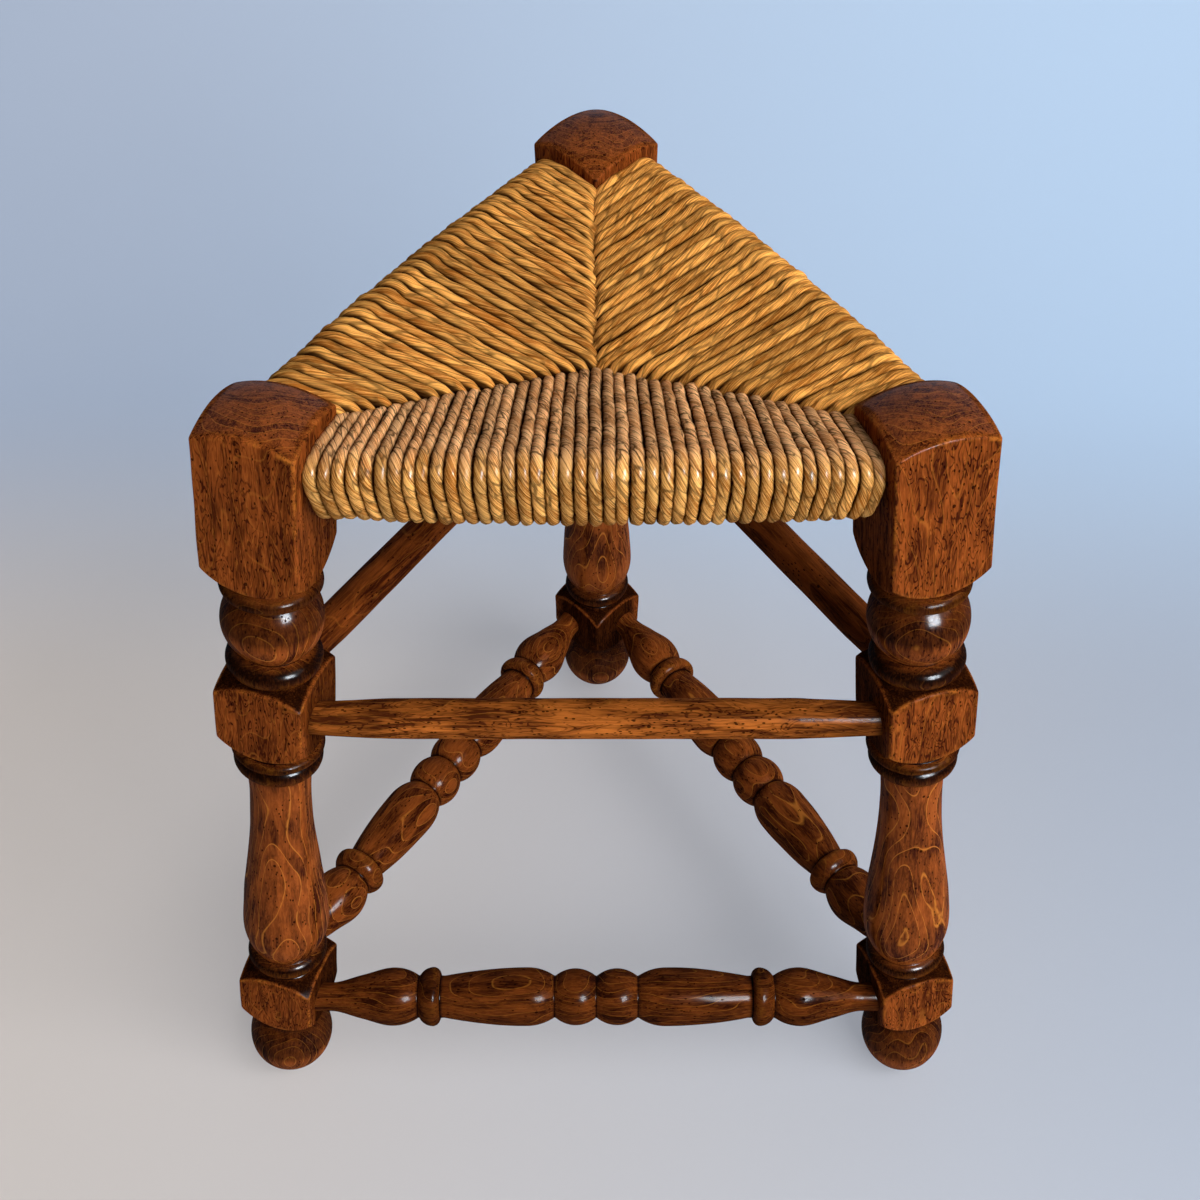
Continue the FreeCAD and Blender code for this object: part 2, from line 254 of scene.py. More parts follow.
class Wiring:
    """Adds nodes to one node tree and joins their sockets."""

    def __init__(self, tree: bpy.types.NodeTree) -> None:
        """Keeps the tree to work on."""
        self.tree = tree

    def add(self, kind: str, inputs: dict[Any, Any] | None = None, **settings: Any) -> bpy.types.Node:
        """Adds a node.

        Args:
            kind: The node's type name.
            inputs: Values for its inputs, by name or number.
            settings: Values for its properties.

        Returns:
            The new node.
        """
        node = self.tree.nodes.new(kind)
        for name, value in settings.items():
            setattr(node, name, value)
        for key, value in (inputs or {}).items():
            self.feed(node.inputs[key], value)
        return node

    def feed(self, socket: Socket, value: Any) -> None:
        """Joins a node's output to an input, or sets a plain value on it."""
        if isinstance(value, Value):
            self.tree.links.new(value.socket, socket)
        elif socket.type == "RGBA":
            socket.default_value = (*value, 1.0)
        else:
            socket.default_value = value

    def give(self, kind: str, inputs: dict[Any, Any] | None = None, output: Any = 0,
             **settings: Any) -> Value:
        """Adds a node and gives one of its outputs."""
        return Value(self, self.add(kind, inputs, **settings).outputs[output])

    def math(self, operation: str, *values: Any) -> Value:
        """Adds a Math node and gives its result."""
        return self.give("ShaderNodeMath", dict(enumerate(values)), operation=operation)

    def vector(self, operation: str, *values: Any) -> Value:
        """Adds a Vector Math node and gives its vector."""
        return self.give("ShaderNodeVectorMath", dict(enumerate(values)), operation=operation)

    def scaled(self, vector: Value, amount: Any) -> Value:
        """Gives a vector times a number."""
        return self.give("ShaderNodeVectorMath", {0: vector, 3: amount}, operation="SCALE")

    def parts(self, vector: Value) -> list[Value]:
        """Gives a vector's three coordinates."""
        return [Value(self, socket) for socket in self.add("ShaderNodeSeparateXYZ", {0: vector}).outputs]

    def joined(self, *numbers: Any) -> Value:
        """Gives a vector of three numbers."""
        return self.give("ShaderNodeCombineXYZ", dict(enumerate(numbers)))

    def noise(self, vector: Value, scale: Any, detail: float = 2.0, rough: float = 0.5,
              warp: float = 0.0) -> Value:
        """Adds a noise texture.

        Args:
            vector: Where it is read.
            scale: Swells for each unit of length.
            detail: How many finer layers it has.
            rough: How strong the finer layers are.
            warp: How much it is distorted.

        Returns:
            Its value, about 0.5 in the middle.
        """
        return self.give("ShaderNodeTexNoise", {"Vector": vector, "Scale": scale, "Detail": detail,
                                                "Roughness": rough, "Distortion": warp})

    def cells(self, vector: Value) -> tuple[Value, Value]:
        """Gives the random tone of the cell that a place is in, and the distance to its middle."""
        node = self.add("ShaderNodeTexVoronoi", {"Vector": vector, "Scale": 1.0})
        return self.parts(Value(self, node.outputs["Color"]))[0], Value(self, node.outputs["Distance"])

    def ramp(self, value: Any, low: Any, high: Any, start: float = 0.0, end: float = 1.0) -> Value:
        """Eases a value from start at low to end at high.

        Args:
            value: The value to ease.
            low: Value that gives start.
            high: Value that gives end.
            start: Result at low.
            end: Result at high.

        Returns:
            The eased value.
        """
        inputs = dict(enumerate((value, low, high, start, end)))
        return self.give("ShaderNodeMapRange", inputs, interpolation_type="SMOOTHSTEP")

    def mix(self, share: Any, first: Any, second: Any, blend: str = "MIX") -> Value:
        """Mixes two colours.

        Args:
            share: How much of the second.
            first: Colour at share 0.
            second: Colour at share 1.
            blend: How they are mixed.

        Returns:
            The mixed colour.
        """
        inputs = {0: share, 6: first, 7: second}
        return self.give("ShaderNodeMix", inputs, 2, data_type="RGBA", blend_type=blend)

    def attribute(self, name: str, output: str = "Fac") -> Value:
        """Reads one of the mesh's attributes."""
        return self.give("ShaderNodeAttribute", output=output, attribute_name=name)

    def group(self, tree: bpy.types.NodeTree, inputs: dict[str, Any]) -> dict[str, Value]:
        """Places a node group and gives its outputs by name."""
        node = self.add("ShaderNodeGroup", inputs, node_tree=tree)
        return {socket.name: Value(self, socket) for socket in node.outputs}


class Surface(Wiring):
    """A new material and the nodes before its Principled shader."""

    def __init__(self, name: str) -> None:
        """Makes the material."""
        self.material = bpy.data.materials.new(name)
        self.material.use_nodes = True
        super().__init__(self.material.node_tree)

    def bump(self, height: Value, strength: float, depth: float) -> Value:
        """Gives the normals of a surface with small relief."""
        inputs = {"Height": height, "Strength": strength, "Distance": depth}
        return self.give("ShaderNodeBump", inputs, "Normal")

    def dress(self, values: dict[str, Any]) -> bpy.types.Material:
        """Joins or sets the shader's inputs by name and gives the finished material."""
        for name, value in values.items():
            self.feed(self.tree.nodes["Principled BSDF"].inputs[name], value)
        return self.material


class ShaderGroup:
    """A shader node group with named inputs and outputs, built once."""

    def __init__(self, name: str, inputs: dict[str, str], outputs: tuple[str, ...]) -> None:
        """Makes the empty group.

        Args:
            name: The group's name.
            inputs: Socket types by input name.
            outputs: Names of its outputs, which are numbers.
        """
        self.tree = bpy.data.node_groups.new(name, "ShaderNodeTree")
        for socket_name, kind in inputs.items():
            self.tree.interface.new_socket(socket_name, in_out="INPUT", socket_type=kind)
        for socket_name in outputs:
            self.tree.interface.new_socket(socket_name, in_out="OUTPUT", socket_type=FLOAT)
        self.wires = Wiring(self.tree)
        given = self.tree.nodes.new("NodeGroupInput").outputs
        self.given = {socket.name: Value(self.wires, socket) for socket in given}
        self.result = self.tree.nodes.new("NodeGroupOutput").inputs

    def put(self, name: str, value: Value) -> None:
        """Joins a value to a named output."""
        self.wires.feed(self.result[name], value)


def growth_lines() -> bpy.types.NodeTree:
    """Builds the group for growth rings that come to the surface as bands with thin pale lines between.

    Returns:
        Group with inputs Grain, Spacing, Wander and Width, and outputs Line and Band.
    """
    inputs = {"Grain": VECTOR, "Spacing": FLOAT, "Wander": FLOAT, "Width": FLOAT}
    group = ShaderGroup("growth_lines", inputs, ("Line", "Band"))
    wires, given = group.wires, group.given
    x, y, z = wires.parts(given["Grain"])
    sway = wires.noise(wires.vector("MULTIPLY", given["Grain"], (0.060, 0.060, 0.019)), 1.0, 0.0) - 0.5
    pith = wires.math("POWER", x * x + y * y, 0.5)
    turns = (pith + sway * given["Wander"]) / given["Spacing"]
    number = wires.math("FLOOR", turns)
    off = 0.5 - abs(wires.math("FRACT", turns) - 0.5)
    patch = wires.noise(wires.joined(number, z * 0.05, 0.0), 3.1, 1.0)
    group.put("Line", wires.ramp(off, 0.0, given["Width"], 1.0, 0.0) * wires.ramp(patch, 0.32, 0.48))
    group.put("Band", wires.noise(wires.joined(number, z * 0.008, 7.0), 5.3, 0.0))
    return group.tree


def pore_marks() -> bpy.types.NodeTree:
    """Builds the group for small dark pits along the grain and round worm holes.

    Returns:
        Group with inputs Grain, Pore Share and Hole Share, and outputs Pores and Holes.
    """
    group = ShaderGroup("pore_marks", {"Grain": VECTOR, "Pore Share": FLOAT, "Hole Share": FLOAT},
                        ("Pores", "Holes"))
    wires, given = group.wires, group.given
    crowd = wires.ramp(wires.noise(given["Grain"], 0.06, 1.0), 0.35, 0.6, 0.25, 1.2)
    for result, share, stretch, size in (("Pores", "Pore Share", (0.62, 0.62, 0.30), 0.27),
                                         ("Holes", "Hole Share", (0.15, 0.15, 0.12), 0.13)):
        chance, off = wires.cells(wires.vector("MULTIPLY", given["Grain"], stretch))
        chosen = wires.math("LESS_THAN", chance, given[share] * crowd)
        group.put(result, chosen * wires.ramp(off, 0.75 * size, size, 1.0, 0.0))
    return group.tree


def grain_streaks() -> bpy.types.NodeTree:
    """Builds the group for tone streaks and thin dark wavy figure lines along a piece.

    Returns:
        Group with inputs Grain and Length, and outputs Streak, Fine and Figure.
    """
    group = ShaderGroup("grain_streaks", {"Grain": VECTOR, "Length": FLOAT}, ("Streak", "Fine", "Figure"))
    wires, grain = group.wires, group.given["Grain"]
    shrink = wires.math("DIVIDE", 1.0, group.given["Length"])
    place = wires.vector("MULTIPLY", grain, wires.joined(1.0, 1.0, shrink))
    group.put("Streak", wires.noise(place, 0.22, 2.0, 0.55, 0.5))
    fine = wires.noise(place, 1.15, 3.0, 0.6, 0.4)
    group.put("Fine", fine)
    swirl = wires.noise(wires.vector("MULTIPLY", grain, (1.0, 1.0, 0.2)), 0.19, 1.6, 0.5, 0.7)
    level = wires.math("FRACT", swirl * 11.0)
    group.put("Figure", wires.ramp(abs(level - 0.5), 0.07, 0.19, 1.0, 0.0) * wires.ramp(fine, 0.30, 0.48))
    return group.tree


class Groups:
    """The shader groups that the finishes share."""

    def __init__(self) -> None:
        """Builds each group once."""
        self.lines = growth_lines()
        self.pores = pore_marks()
        self.streaks = grain_streaks()


@dataclass(frozen=True)
class WoodFinish:
    """Dark waxed hardwood with ring lines, wavy figure, pits, worn edges, and painted shade with old
    soiling in the hollows.

    Each ramp is told as low, high, start and end.
    """

    name: str
    deep: Colour = (0.044, 0.0085, 0.0026)
    warm: Colour = (0.320, 0.0770, 0.0140)
    vein: Colour = (0.560, 0.1900, 0.0270)
    worn: Colour = (0.480, 0.1500, 0.0200)
    # Near-black for pits, and for painted shade with some old soiling.
    grime: Colour = (0.0060, 0.0016, 0.0006)
    ring_spacing: float = 2.9
    ring_wander: float = 16.0
    ring_width: float = 0.066
    vein_strength: float = 0.78
    figure_strength: float = 0.52
    mark_strength: float = 0.84
    pore_share: float = 0.42
    hole_share: float = 0.36
    streak_length: float = 7.0
    streak_ramp: Ramp = (0.28, 0.72, 0.26, 0.84)
    fine_ramp: Ramp = (0.36, 0.64, -0.17, 0.17)
    band_ramp: Ramp = (0.3, 0.7, -0.28, 0.22)
    wear_ramp: Ramp = (0.38, 0.62, 0.05, 0.9)
    dirt_and_shade_ramp: Ramp = (0.3, 0.7, 1.06, 0.94)
    roughness: float = 0.4
    gloss_level: float = 0.0
    wax_round: float = 0.085
    wax_square: float = 0.025
    wax_dome: float = 0.22
    wax_rough: float = 0.17

    def build(self, groups: Groups) -> bpy.types.Material:
        """Builds the material.

        Args:
            groups: The shared shader groups.

        Returns:
            The wood material.
        """
        wood = Surface(self.name)
        grain = wood.attribute("grain", "Vector")
        lines = wood.group(groups.lines, {"Grain": grain, "Spacing": self.ring_spacing,
                                          "Wander": self.ring_wander, "Width": self.ring_width})
        pores = wood.group(groups.pores, {"Grain": grain, "Pore Share": self.pore_share,
                                          "Hole Share": self.hole_share})
        streaks = wood.group(groups.streaks, {"Grain": grain, "Length": self.streak_length})
        square, wear, dirt_and_shade_share = (wood.attribute(name) for name in ("square", "wear", "grime"))
        fine = streaks["Fine"]
        marks = pores["Pores"].most(pores["Holes"])
        round_share = wood.ramp(square, 0.0, 1.0, 1.0, 0.3)
        tone = wood.ramp(streaks["Streak"], *self.streak_ramp) + wood.ramp(fine, *self.fine_ramp)
        tone += wood.ramp(lines["Band"], *self.band_ramp) * round_share
        tone -= streaks["Figure"] * wood.ramp(square, 0.0, 1.0, 0.3, 1.0) * self.figure_strength
        vein = lines["Line"] * self.vein_strength * round_share
        thread = wood.ramp(fine, 0.60, 0.70) * wood.ramp(square, 0.0, 1.0, 0.12, 0.3)
        broken = wood.ramp(wood.noise(grain, 0.45, 3.0, 0.6), *self.wear_ramp)
        colour = wood.mix(tone, self.deep, self.warm)
        # The last layer paints shade into the colour, with some old soiling, as the mesh's attribute gives
        # it.
        for share, layer in ((vein.most(thread), self.vein), (wear * broken, self.worn),
                             (marks * self.mark_strength, self.grime),
                             (dirt_and_shade_share * wood.ramp(fine, *self.dirt_and_shade_ramp), self.grime)):
            colour = wood.mix(share, colour, layer)
        dull = (dirt_and_shade_share * wood.ramp(square, 0.0, 1.0, 0.35, 1.0)).most(wear).most(marks)
        domed = 0.5 - abs(square - 0.5)
        wax = wood.ramp(square, 0.0, 1.0, self.wax_round, self.wax_square) + domed * (2.0 * self.wax_dome)
        return wood.dress({"Base Color": colour, "Roughness": fine * 0.10 + self.roughness + marks * 0.3,
                           "Coat Weight": wax * (1.0 - dull), "Coat Roughness": self.wax_rough,
                           "Normal": wood.bump(fine * 0.22 - marks, 0.35, 0.0004),
                           "Specular IOR Level": self.gloss_level})


@dataclass(frozen=True)
class RushFinish:
    """Twisted rush: fibres and leaf edges that wind round each strand, dry on top and glossy on the roll,
    with painted shade on each strand's flanks.

    Each ramp is told as low, high, start and end.
    """

    name: str
    dry_pale: Colour
    dry_dark: Colour
    gold_pale: Colour = (0.92, 0.490, 0.140)
    gold_dark: Colour = (0.34, 0.115, 0.016)
    # Near-black, for leaf-edge marks and for the painted shade on the flanks.
    crease: Colour = (0.022, 0.0070, 0.0016)
    dry_rough: float = 0.8
    gold_rough: float = 0.26
    lay_pitch: float = 22.0
    lay_count: float = 3.0
    leaf_length: float = 10.0
    leaf_width: float = 0.8
    mark_strength: float = 0.8
    fold_mark_share: float = 0.8
    fibre_count: float = 5.7
    fibre_ramp: Ramp = (0.39, 0.61, -0.18, 0.68)
    leaf_ramp: Ramp = (0.0, 1.0, 0.0, 0.38)
    patch_ramp: Ramp = (0.3, 0.7, -0.18, 0.3)
    each_ramp: Ramp = (0.0, 1.0, 0.74, 1.14)
    flank_from: float = 0.78
    flank_to: float = 0.16
    flank_strength: float = 0.96
    gloss_level: float = 0.0
    dry_sheen: float = 0.0
    gold_sheen: float = 0.12
    sheen_rough: float = 0.26

    @classmethod
    def even(cls, name: str, pale: Colour, dark: Colour, rough: float, **rest: float) -> "RushFinish":
        """A finish that is alike on top and on the roll, with fainter leaf edges and no sheen.

        Args:
            name: The material's name.
            pale: Colour of the pale fibres.
            dark: Colour of the dark fibres.
            rough: Its roughness.
            rest: Other values.

        Returns:
            The finish.
        """
        return cls(name, pale, dark, pale, dark, dry_rough=rough, gold_rough=rough, gold_sheen=0.0,
                   mark_strength=0.6, **rest)

    def build(self) -> bpy.types.Material:
        """Builds the material.

        Returns:
            The rush material.
        """
        rush = Surface(self.name)
        strand, fold, crown = (rush.attribute(name) for name in ("strand", "fold", "crown"))
        around_x, around_y, along = rush.parts(rush.attribute("lay", "Vector"))
        turn = {0: rush.joined(around_x, around_y, 0.0), 3: along * (2.0 * math.pi / self.lay_pitch)}
        x, y, _ = rush.parts(rush.give("ShaderNodeVectorRotate", turn, rotation_type="Z_AXIS"))
        fibre_place = rush.joined(x * self.fibre_count, y * self.fibre_count, along * 0.05 + strand * 161.0)
        fibre = rush.noise(fibre_place, 1.0, 3.0, 0.62)
        leaf_up = along / self.leaf_length + strand * 53.0
        leaf_place = rush.joined(x * self.leaf_width, y * self.leaf_width, leaf_up)
        leaf_tone, _ = rush.cells(leaf_place)
        edge = rush.give("ShaderNodeTexVoronoi", {"Vector": leaf_place, "Scale": 1.0}, "Distance",
                         feature="DISTANCE_TO_EDGE")
        mark = rush.ramp(edge, 0.03, 0.12, 1.0, 0.0) * rush.ramp(leaf_tone, 0.2, 0.7, 0.3, 1.0)
        mark *= rush.ramp(fold, 0.2, 1.0, self.mark_strength, self.fold_mark_share * self.mark_strength)
        patch = rush.noise(rush.joined(strand * 97.0, along * 0.045, 0.0), 1.0, 2.0)
        tone = rush.ramp(fibre, *self.fibre_ramp) + rush.ramp(leaf_tone, *self.leaf_ramp)
        tone = (tone + rush.ramp(patch, *self.patch_ramp)).most(0.0)
        colour = rush.mix(fold, rush.mix(tone, self.dry_dark, self.dry_pale),
                          rush.mix(tone, self.gold_dark, self.gold_pale))
        each = rush.ramp(strand, *self.each_ramp)
        colour = rush.mix(1.0, colour, rush.joined(each, each, each), "MULTIPLY")
        # Painted shade: each strand's flanks darken towards the gaps between strands.
        flank = rush.ramp(crown, self.flank_from, self.flank_to, 0.0, self.flank_strength)
        colour = rush.mix(flank, rush.mix(mark, colour, self.crease), self.crease)
        rough = rush.ramp(fold, 0.0, 1.0, self.dry_rough, self.gold_rough)
        rough += rush.ramp(fibre, 0.3, 0.7, -0.06, 0.1)
        sheen = rush.ramp(fold, 0.3, 1.0, self.dry_sheen, self.gold_sheen)
        sheen *= rush.ramp(crown, 0.35, 0.75) * rush.ramp(fibre, 0.40, 0.6, 0.1, 1.0)
        return rush.dress({"Base Color": colour, "Roughness": rough + rush.ramp(crown, 0.8, 0.3, 0.0, 0.5),
                           "Coat Weight": sheen, "Coat Roughness": self.sheen_rough,
                           "Normal": rush.bump(fibre * 0.8 - mark * 0.6, 0.6, 0.0006),
                           "Specular IOR Level": self.gloss_level})


@dataclass(frozen=True)
class LooseFinish:
    """Dry loose rush, seen only through gaps: dull straws of two browns, painted very dark as the shade
    inside the seat.
    """

    name: str
    pale: Colour = (0.075, 0.034, 0.0100)
    dark: Colour = (0.020, 0.008, 0.0025)
    straws: float = 190.0
    stretch: Place = (1.0, 0.25, 1.0)
    roughness: float = 0.8

    def build(self) -> bpy.types.Material:
        """Builds the material.

        Returns:
            The loose rush material.
        """
        loose = Surface(self.name)
        place = loose.vector("MULTIPLY", loose.give("ShaderNodeTexCoord", output="Object"), self.stretch)
        straw = loose.noise(place, self.straws, 3.0, 0.6, 0.6)
        return loose.dress({"Base Color": loose.mix(loose.ramp(straw, 0.35, 0.65), self.dark, self.pale),
                            "Normal": loose.bump(straw, 0.7, 0.001), "Roughness": self.roughness,
                            "Specular IOR Level": 0.0})


def piece_from_mesh(name: str, mesh: bpy.types.Mesh, material: bpy.types.Material, slot: str,
                    *nodes: str) -> bpy.types.Object:
    """Makes a finished piece of a mesh, in place of CAD nodes.

    Args:
        name: The piece's name.
        mesh: Its mesh, in place.
        material: Its material.
        slot: Not used.
        nodes: CAD nodes that it stands for.

    Returns:
        The piece, riding on the stool's body.
    """
    piece = bpy.data.objects.new(name, mesh)
    bpy.context.scene.collection.objects.link(piece)
    mesh.materials.clear()
    mesh.materials.append(material)
    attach(piece, BODY)
    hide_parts(*nodes)
    log.info("%s: %d faces, for %s", name, len(mesh.polygons), ", ".join(nodes))
    return piece


def paint(mesh: bpy.types.Mesh, name: str, values: np.ndarray) -> None:
    """Stores one number or vector for each vertex as an attribute.

    Args:
        mesh: The mesh.
        name: The attribute's name.
        values: One row for each vertex.
    """
    is_vector = values.ndim == 2
    attribute = mesh.attributes.new(name, "FLOAT_VECTOR" if is_vector else "FLOAT", "POINT")
    attribute.data.foreach_set("vector" if is_vector else "value", values.astype(np.float32).ravel())


def closed_tube(name: str, rings: np.ndarray, **values: np.ndarray) -> bpy.types.Mesh:
    """Makes a closed mesh of rings of points, whose first and last rings become poles.

    Args:
        name: The mesh's name.
        rings: Points by row and column, in millimetres, columns counter-clockwise seen from the last row.
        values: Attributes by name, by row and column.

    Returns:
        The mesh, in metres.
    """
    def flat(grid: np.ndarray) -> np.ndarray:
        inner = grid[1:-1].reshape(-1, *grid.shape[2:])
        return np.concatenate([grid[0].mean(axis=0)[None], inner, grid[-1].mean(axis=0)[None]])

    rows, columns = rings.shape[0] - 2, rings.shape[1]
    index = 1 + np.arange(rows * columns).reshape(rows, columns)
    beside = np.roll(index, -1, axis=1)
    quads = np.stack([index[:-1], beside[:-1], beside[1:], index[1:]], axis=-1).reshape(-1, 4)
    last = rows * columns + 1
    faces = quads.tolist()
    faces += [(0, b, a) for a, b in zip(index[0].tolist(), beside[0].tolist())]
    faces += [(last, a, b) for a, b in zip(index[-1].tolist(), beside[-1].tolist())]
    mesh = bpy.data.meshes.new(name)
    mesh.from_pydata((flat(rings) * MM).tolist(), [], faces)
    for attribute, grid in values.items():
        paint(mesh, attribute, flat(grid))
    mesh.shade_smooth()
    return mesh


def grain_place(local: np.ndarray, pith_out: float, pith_deg: float, shift: float) -> np.ndarray:
    """Where points of a piece lay in its log, told round the pith.

    Args:
        local: Points along the piece's own axis.
        pith_out: How far the pith lies from that axis.
        pith_deg: On which side it lies.
        shift: How far up the log the piece is taken from.

    Returns:
        Points round the pith.
    """
    pith = math.radians(pith_deg)
    return local - np.array([pith_out * math.cos(pith), pith_out * math.sin(pith), -shift])


class Outline:
    """A turned outline, told as radius and height along the turning axis, in stretches of points."""

    samples = 40
    cap_shade = 0.93
    bead_shades = (0.58, 0.98)

    def __init__(self, radius: float, height: float) -> None:
        """Starts at a point."""
        self.at = (radius, height)
        self.shade = 0.0
        self.stretches: list[tuple[Stretch, float, np.ndarray]] = []
        self.shades: list[float] = []

    def add(self, points: np.ndarray, kind: Stretch = Stretch.ROUND, side: float = 0.0) -> None:
        """Adds a stretch of points, darkened by the present shade, which is painted into the wood, and goes
        to its end.
        """
        self.stretches.append((kind, side, points))
        self.shades.append(self.shade)
        self.at = (float(points[-1, 0]), float(points[-1, 1]))

    def line(self, radius: float, height: float) -> np.ndarray:
        """Gives points straight to a point."""
        share = np.linspace(0.0, 1.0, self.samples)[:, None]
        return np.array(self.at) * (1.0 - share) + np.array([radius, height]) * share

    def line_to(self, radius: float, height: float) -> None:
        """Goes straight to a point."""
        self.add(self.line(radius, height))

    def upright_arc(self, upright: tuple[float, float], other: tuple[float, float]) -> np.ndarray:
        """Points of the circle arc that runs along the axis at its first point.

        Args:
            upright: Radius and height where the arc runs along the axis.
            other: Radius and height of its other end.

        Returns:
            Points from upright to other.
        """
        drop = upright[0] - other[0]
        rise = other[1] - upright[1]
        arc_r = (drop * drop + rise * rise) / (2.0 * drop)
        angles = np.linspace(0.0, math.atan2(abs(rise), abs(arc_r) - abs(drop)), self.samples)
        radius = upright[0] - arc_r + arc_r * np.cos(angles)
        height = upright[1] + math.copysign(abs(arc_r), rise) * np.sin(angles)
        return np.stack([radius, height], axis=-1)

    def swell_to(self, radius: float, height: float) -> None:
        """Rounds to a point where the outline runs along the axis."""
        self.add(self.upright_arc((radius, height), self.at)[::-1])

    def shrink_to(self, radius: float, height: float) -> None:
        """Rounds away from a point where the outline runs along the axis."""
        self.add(self.upright_arc(self.at, (radius, height)))

    def bow(self, radius: float, height: float, bow_share: float) -> np.ndarray:
        """Gives points of a flat swell to a point, by a share of its length."""
        chord = self.line(radius, height)
        across = np.array([height - self.at[1], self.at[0] - radius])
        share = np.linspace(0.0, 1.0, self.samples)[:, None]
        return chord + across * bow_share * 4.0 * share * (1.0 - share)

    def block_to(self, side: float, low: float, high: float, bow_share: float) -> None:
        """Swells to a square block's lower corners and goes up its corner line."""
        corner = side / math.sqrt(2.0)
        self.add(self.bow(corner, low, bow_share), Stretch.SHOULDER, side)
        self.add(self.line(corner, high), Stretch.FACE, side)

    def cap_to(self, radius: float, height: float, side: float, bow_share: float) -> None:
        """Goes from a block's upper corners in to a point."""
        self.shade = self.cap_shade
        self.add(self.bow(radius, height, bow_share), Stretch.CAP, side)
        self.shade = 0.0

    def dome_to(self, height: float, dome_r: float, side: float) -> None:
        """Goes from a block's upper corners over a ball's top to the axis."""
        angles = np.linspace(math.asin(self.at[0] / dome_r), 0.0, self.samples)
        points = np.stack([dome_r * np.sin(angles), height - dome_r + dome_r * np.cos(angles)], axis=-1)
        self.add(points, Stretch.CAP, side)

    def curve_to(self, points: list[tuple[float, float]]) -> None:
        """Goes along one smooth curve through points, along the axis at both ends."""
        knots = np.array([self.at] + points)
        heights = np.linspace(knots[0, 1], knots[-1, 1], 2 * self.samples)
        steps = np.diff(knots[:, 1])
        slopes = np.diff(knots[:, 0]) / steps
        inner = [2.0 * a * b / (a + b) if a * b > 0.0 else 0.0 for a, b in zip(slopes[:-1], slopes[1:])]
        ends = np.array([0.0] + inner + [0.0])
        at = np.clip(np.searchsorted(knots[:, 1], heights, side="right") - 1, 0, len(steps) - 1)
        t = (heights - knots[at, 1]) / steps[at]
        radius = ((1 + 2 * t) * (1 - t) ** 2 * knots[at, 0] + t * (1 - t) ** 2 * steps[at] * ends[at]
                  + t * t * (3 - 2 * t) * knots[at + 1, 0] + t * t * (t - 1) * steps[at] * ends[at + 1])
        self.add(np.stack([radius, heights], axis=-1))

    def bead(self, radius: float, height: float, round_share: float = 0.9) -> None:
        """Adds a turned ring that stands on the present height."""
        base = self.at[1]
        lip = radius - round_share * height / 2.0
        self.shade = self.bead_shades[0]
        self.line_to(lip, base)
        self.swell_to(radius, base + height / 2.0)
        self.shade = self.bead_shades[1]
        self.shrink_to(lip, base + height)
        self.shade = 0.0

    def mirrored(self) -> "Outline":
        """Gives the outline doubled about height zero, for one told from a stick's middle outwards."""
        whole = Outline(self.at[0], -self.at[1])
        for (kind, side, points), whole.shade in zip(self.stretches[::-1], self.shades[::-1]):
            whole.add((points * np.array([1.0, -1.0]))[::-1], kind, side)
        for (kind, side, points), whole.shade in zip(self.stretches, self.shades):
            whole.add(points, kind, side)
        return whole


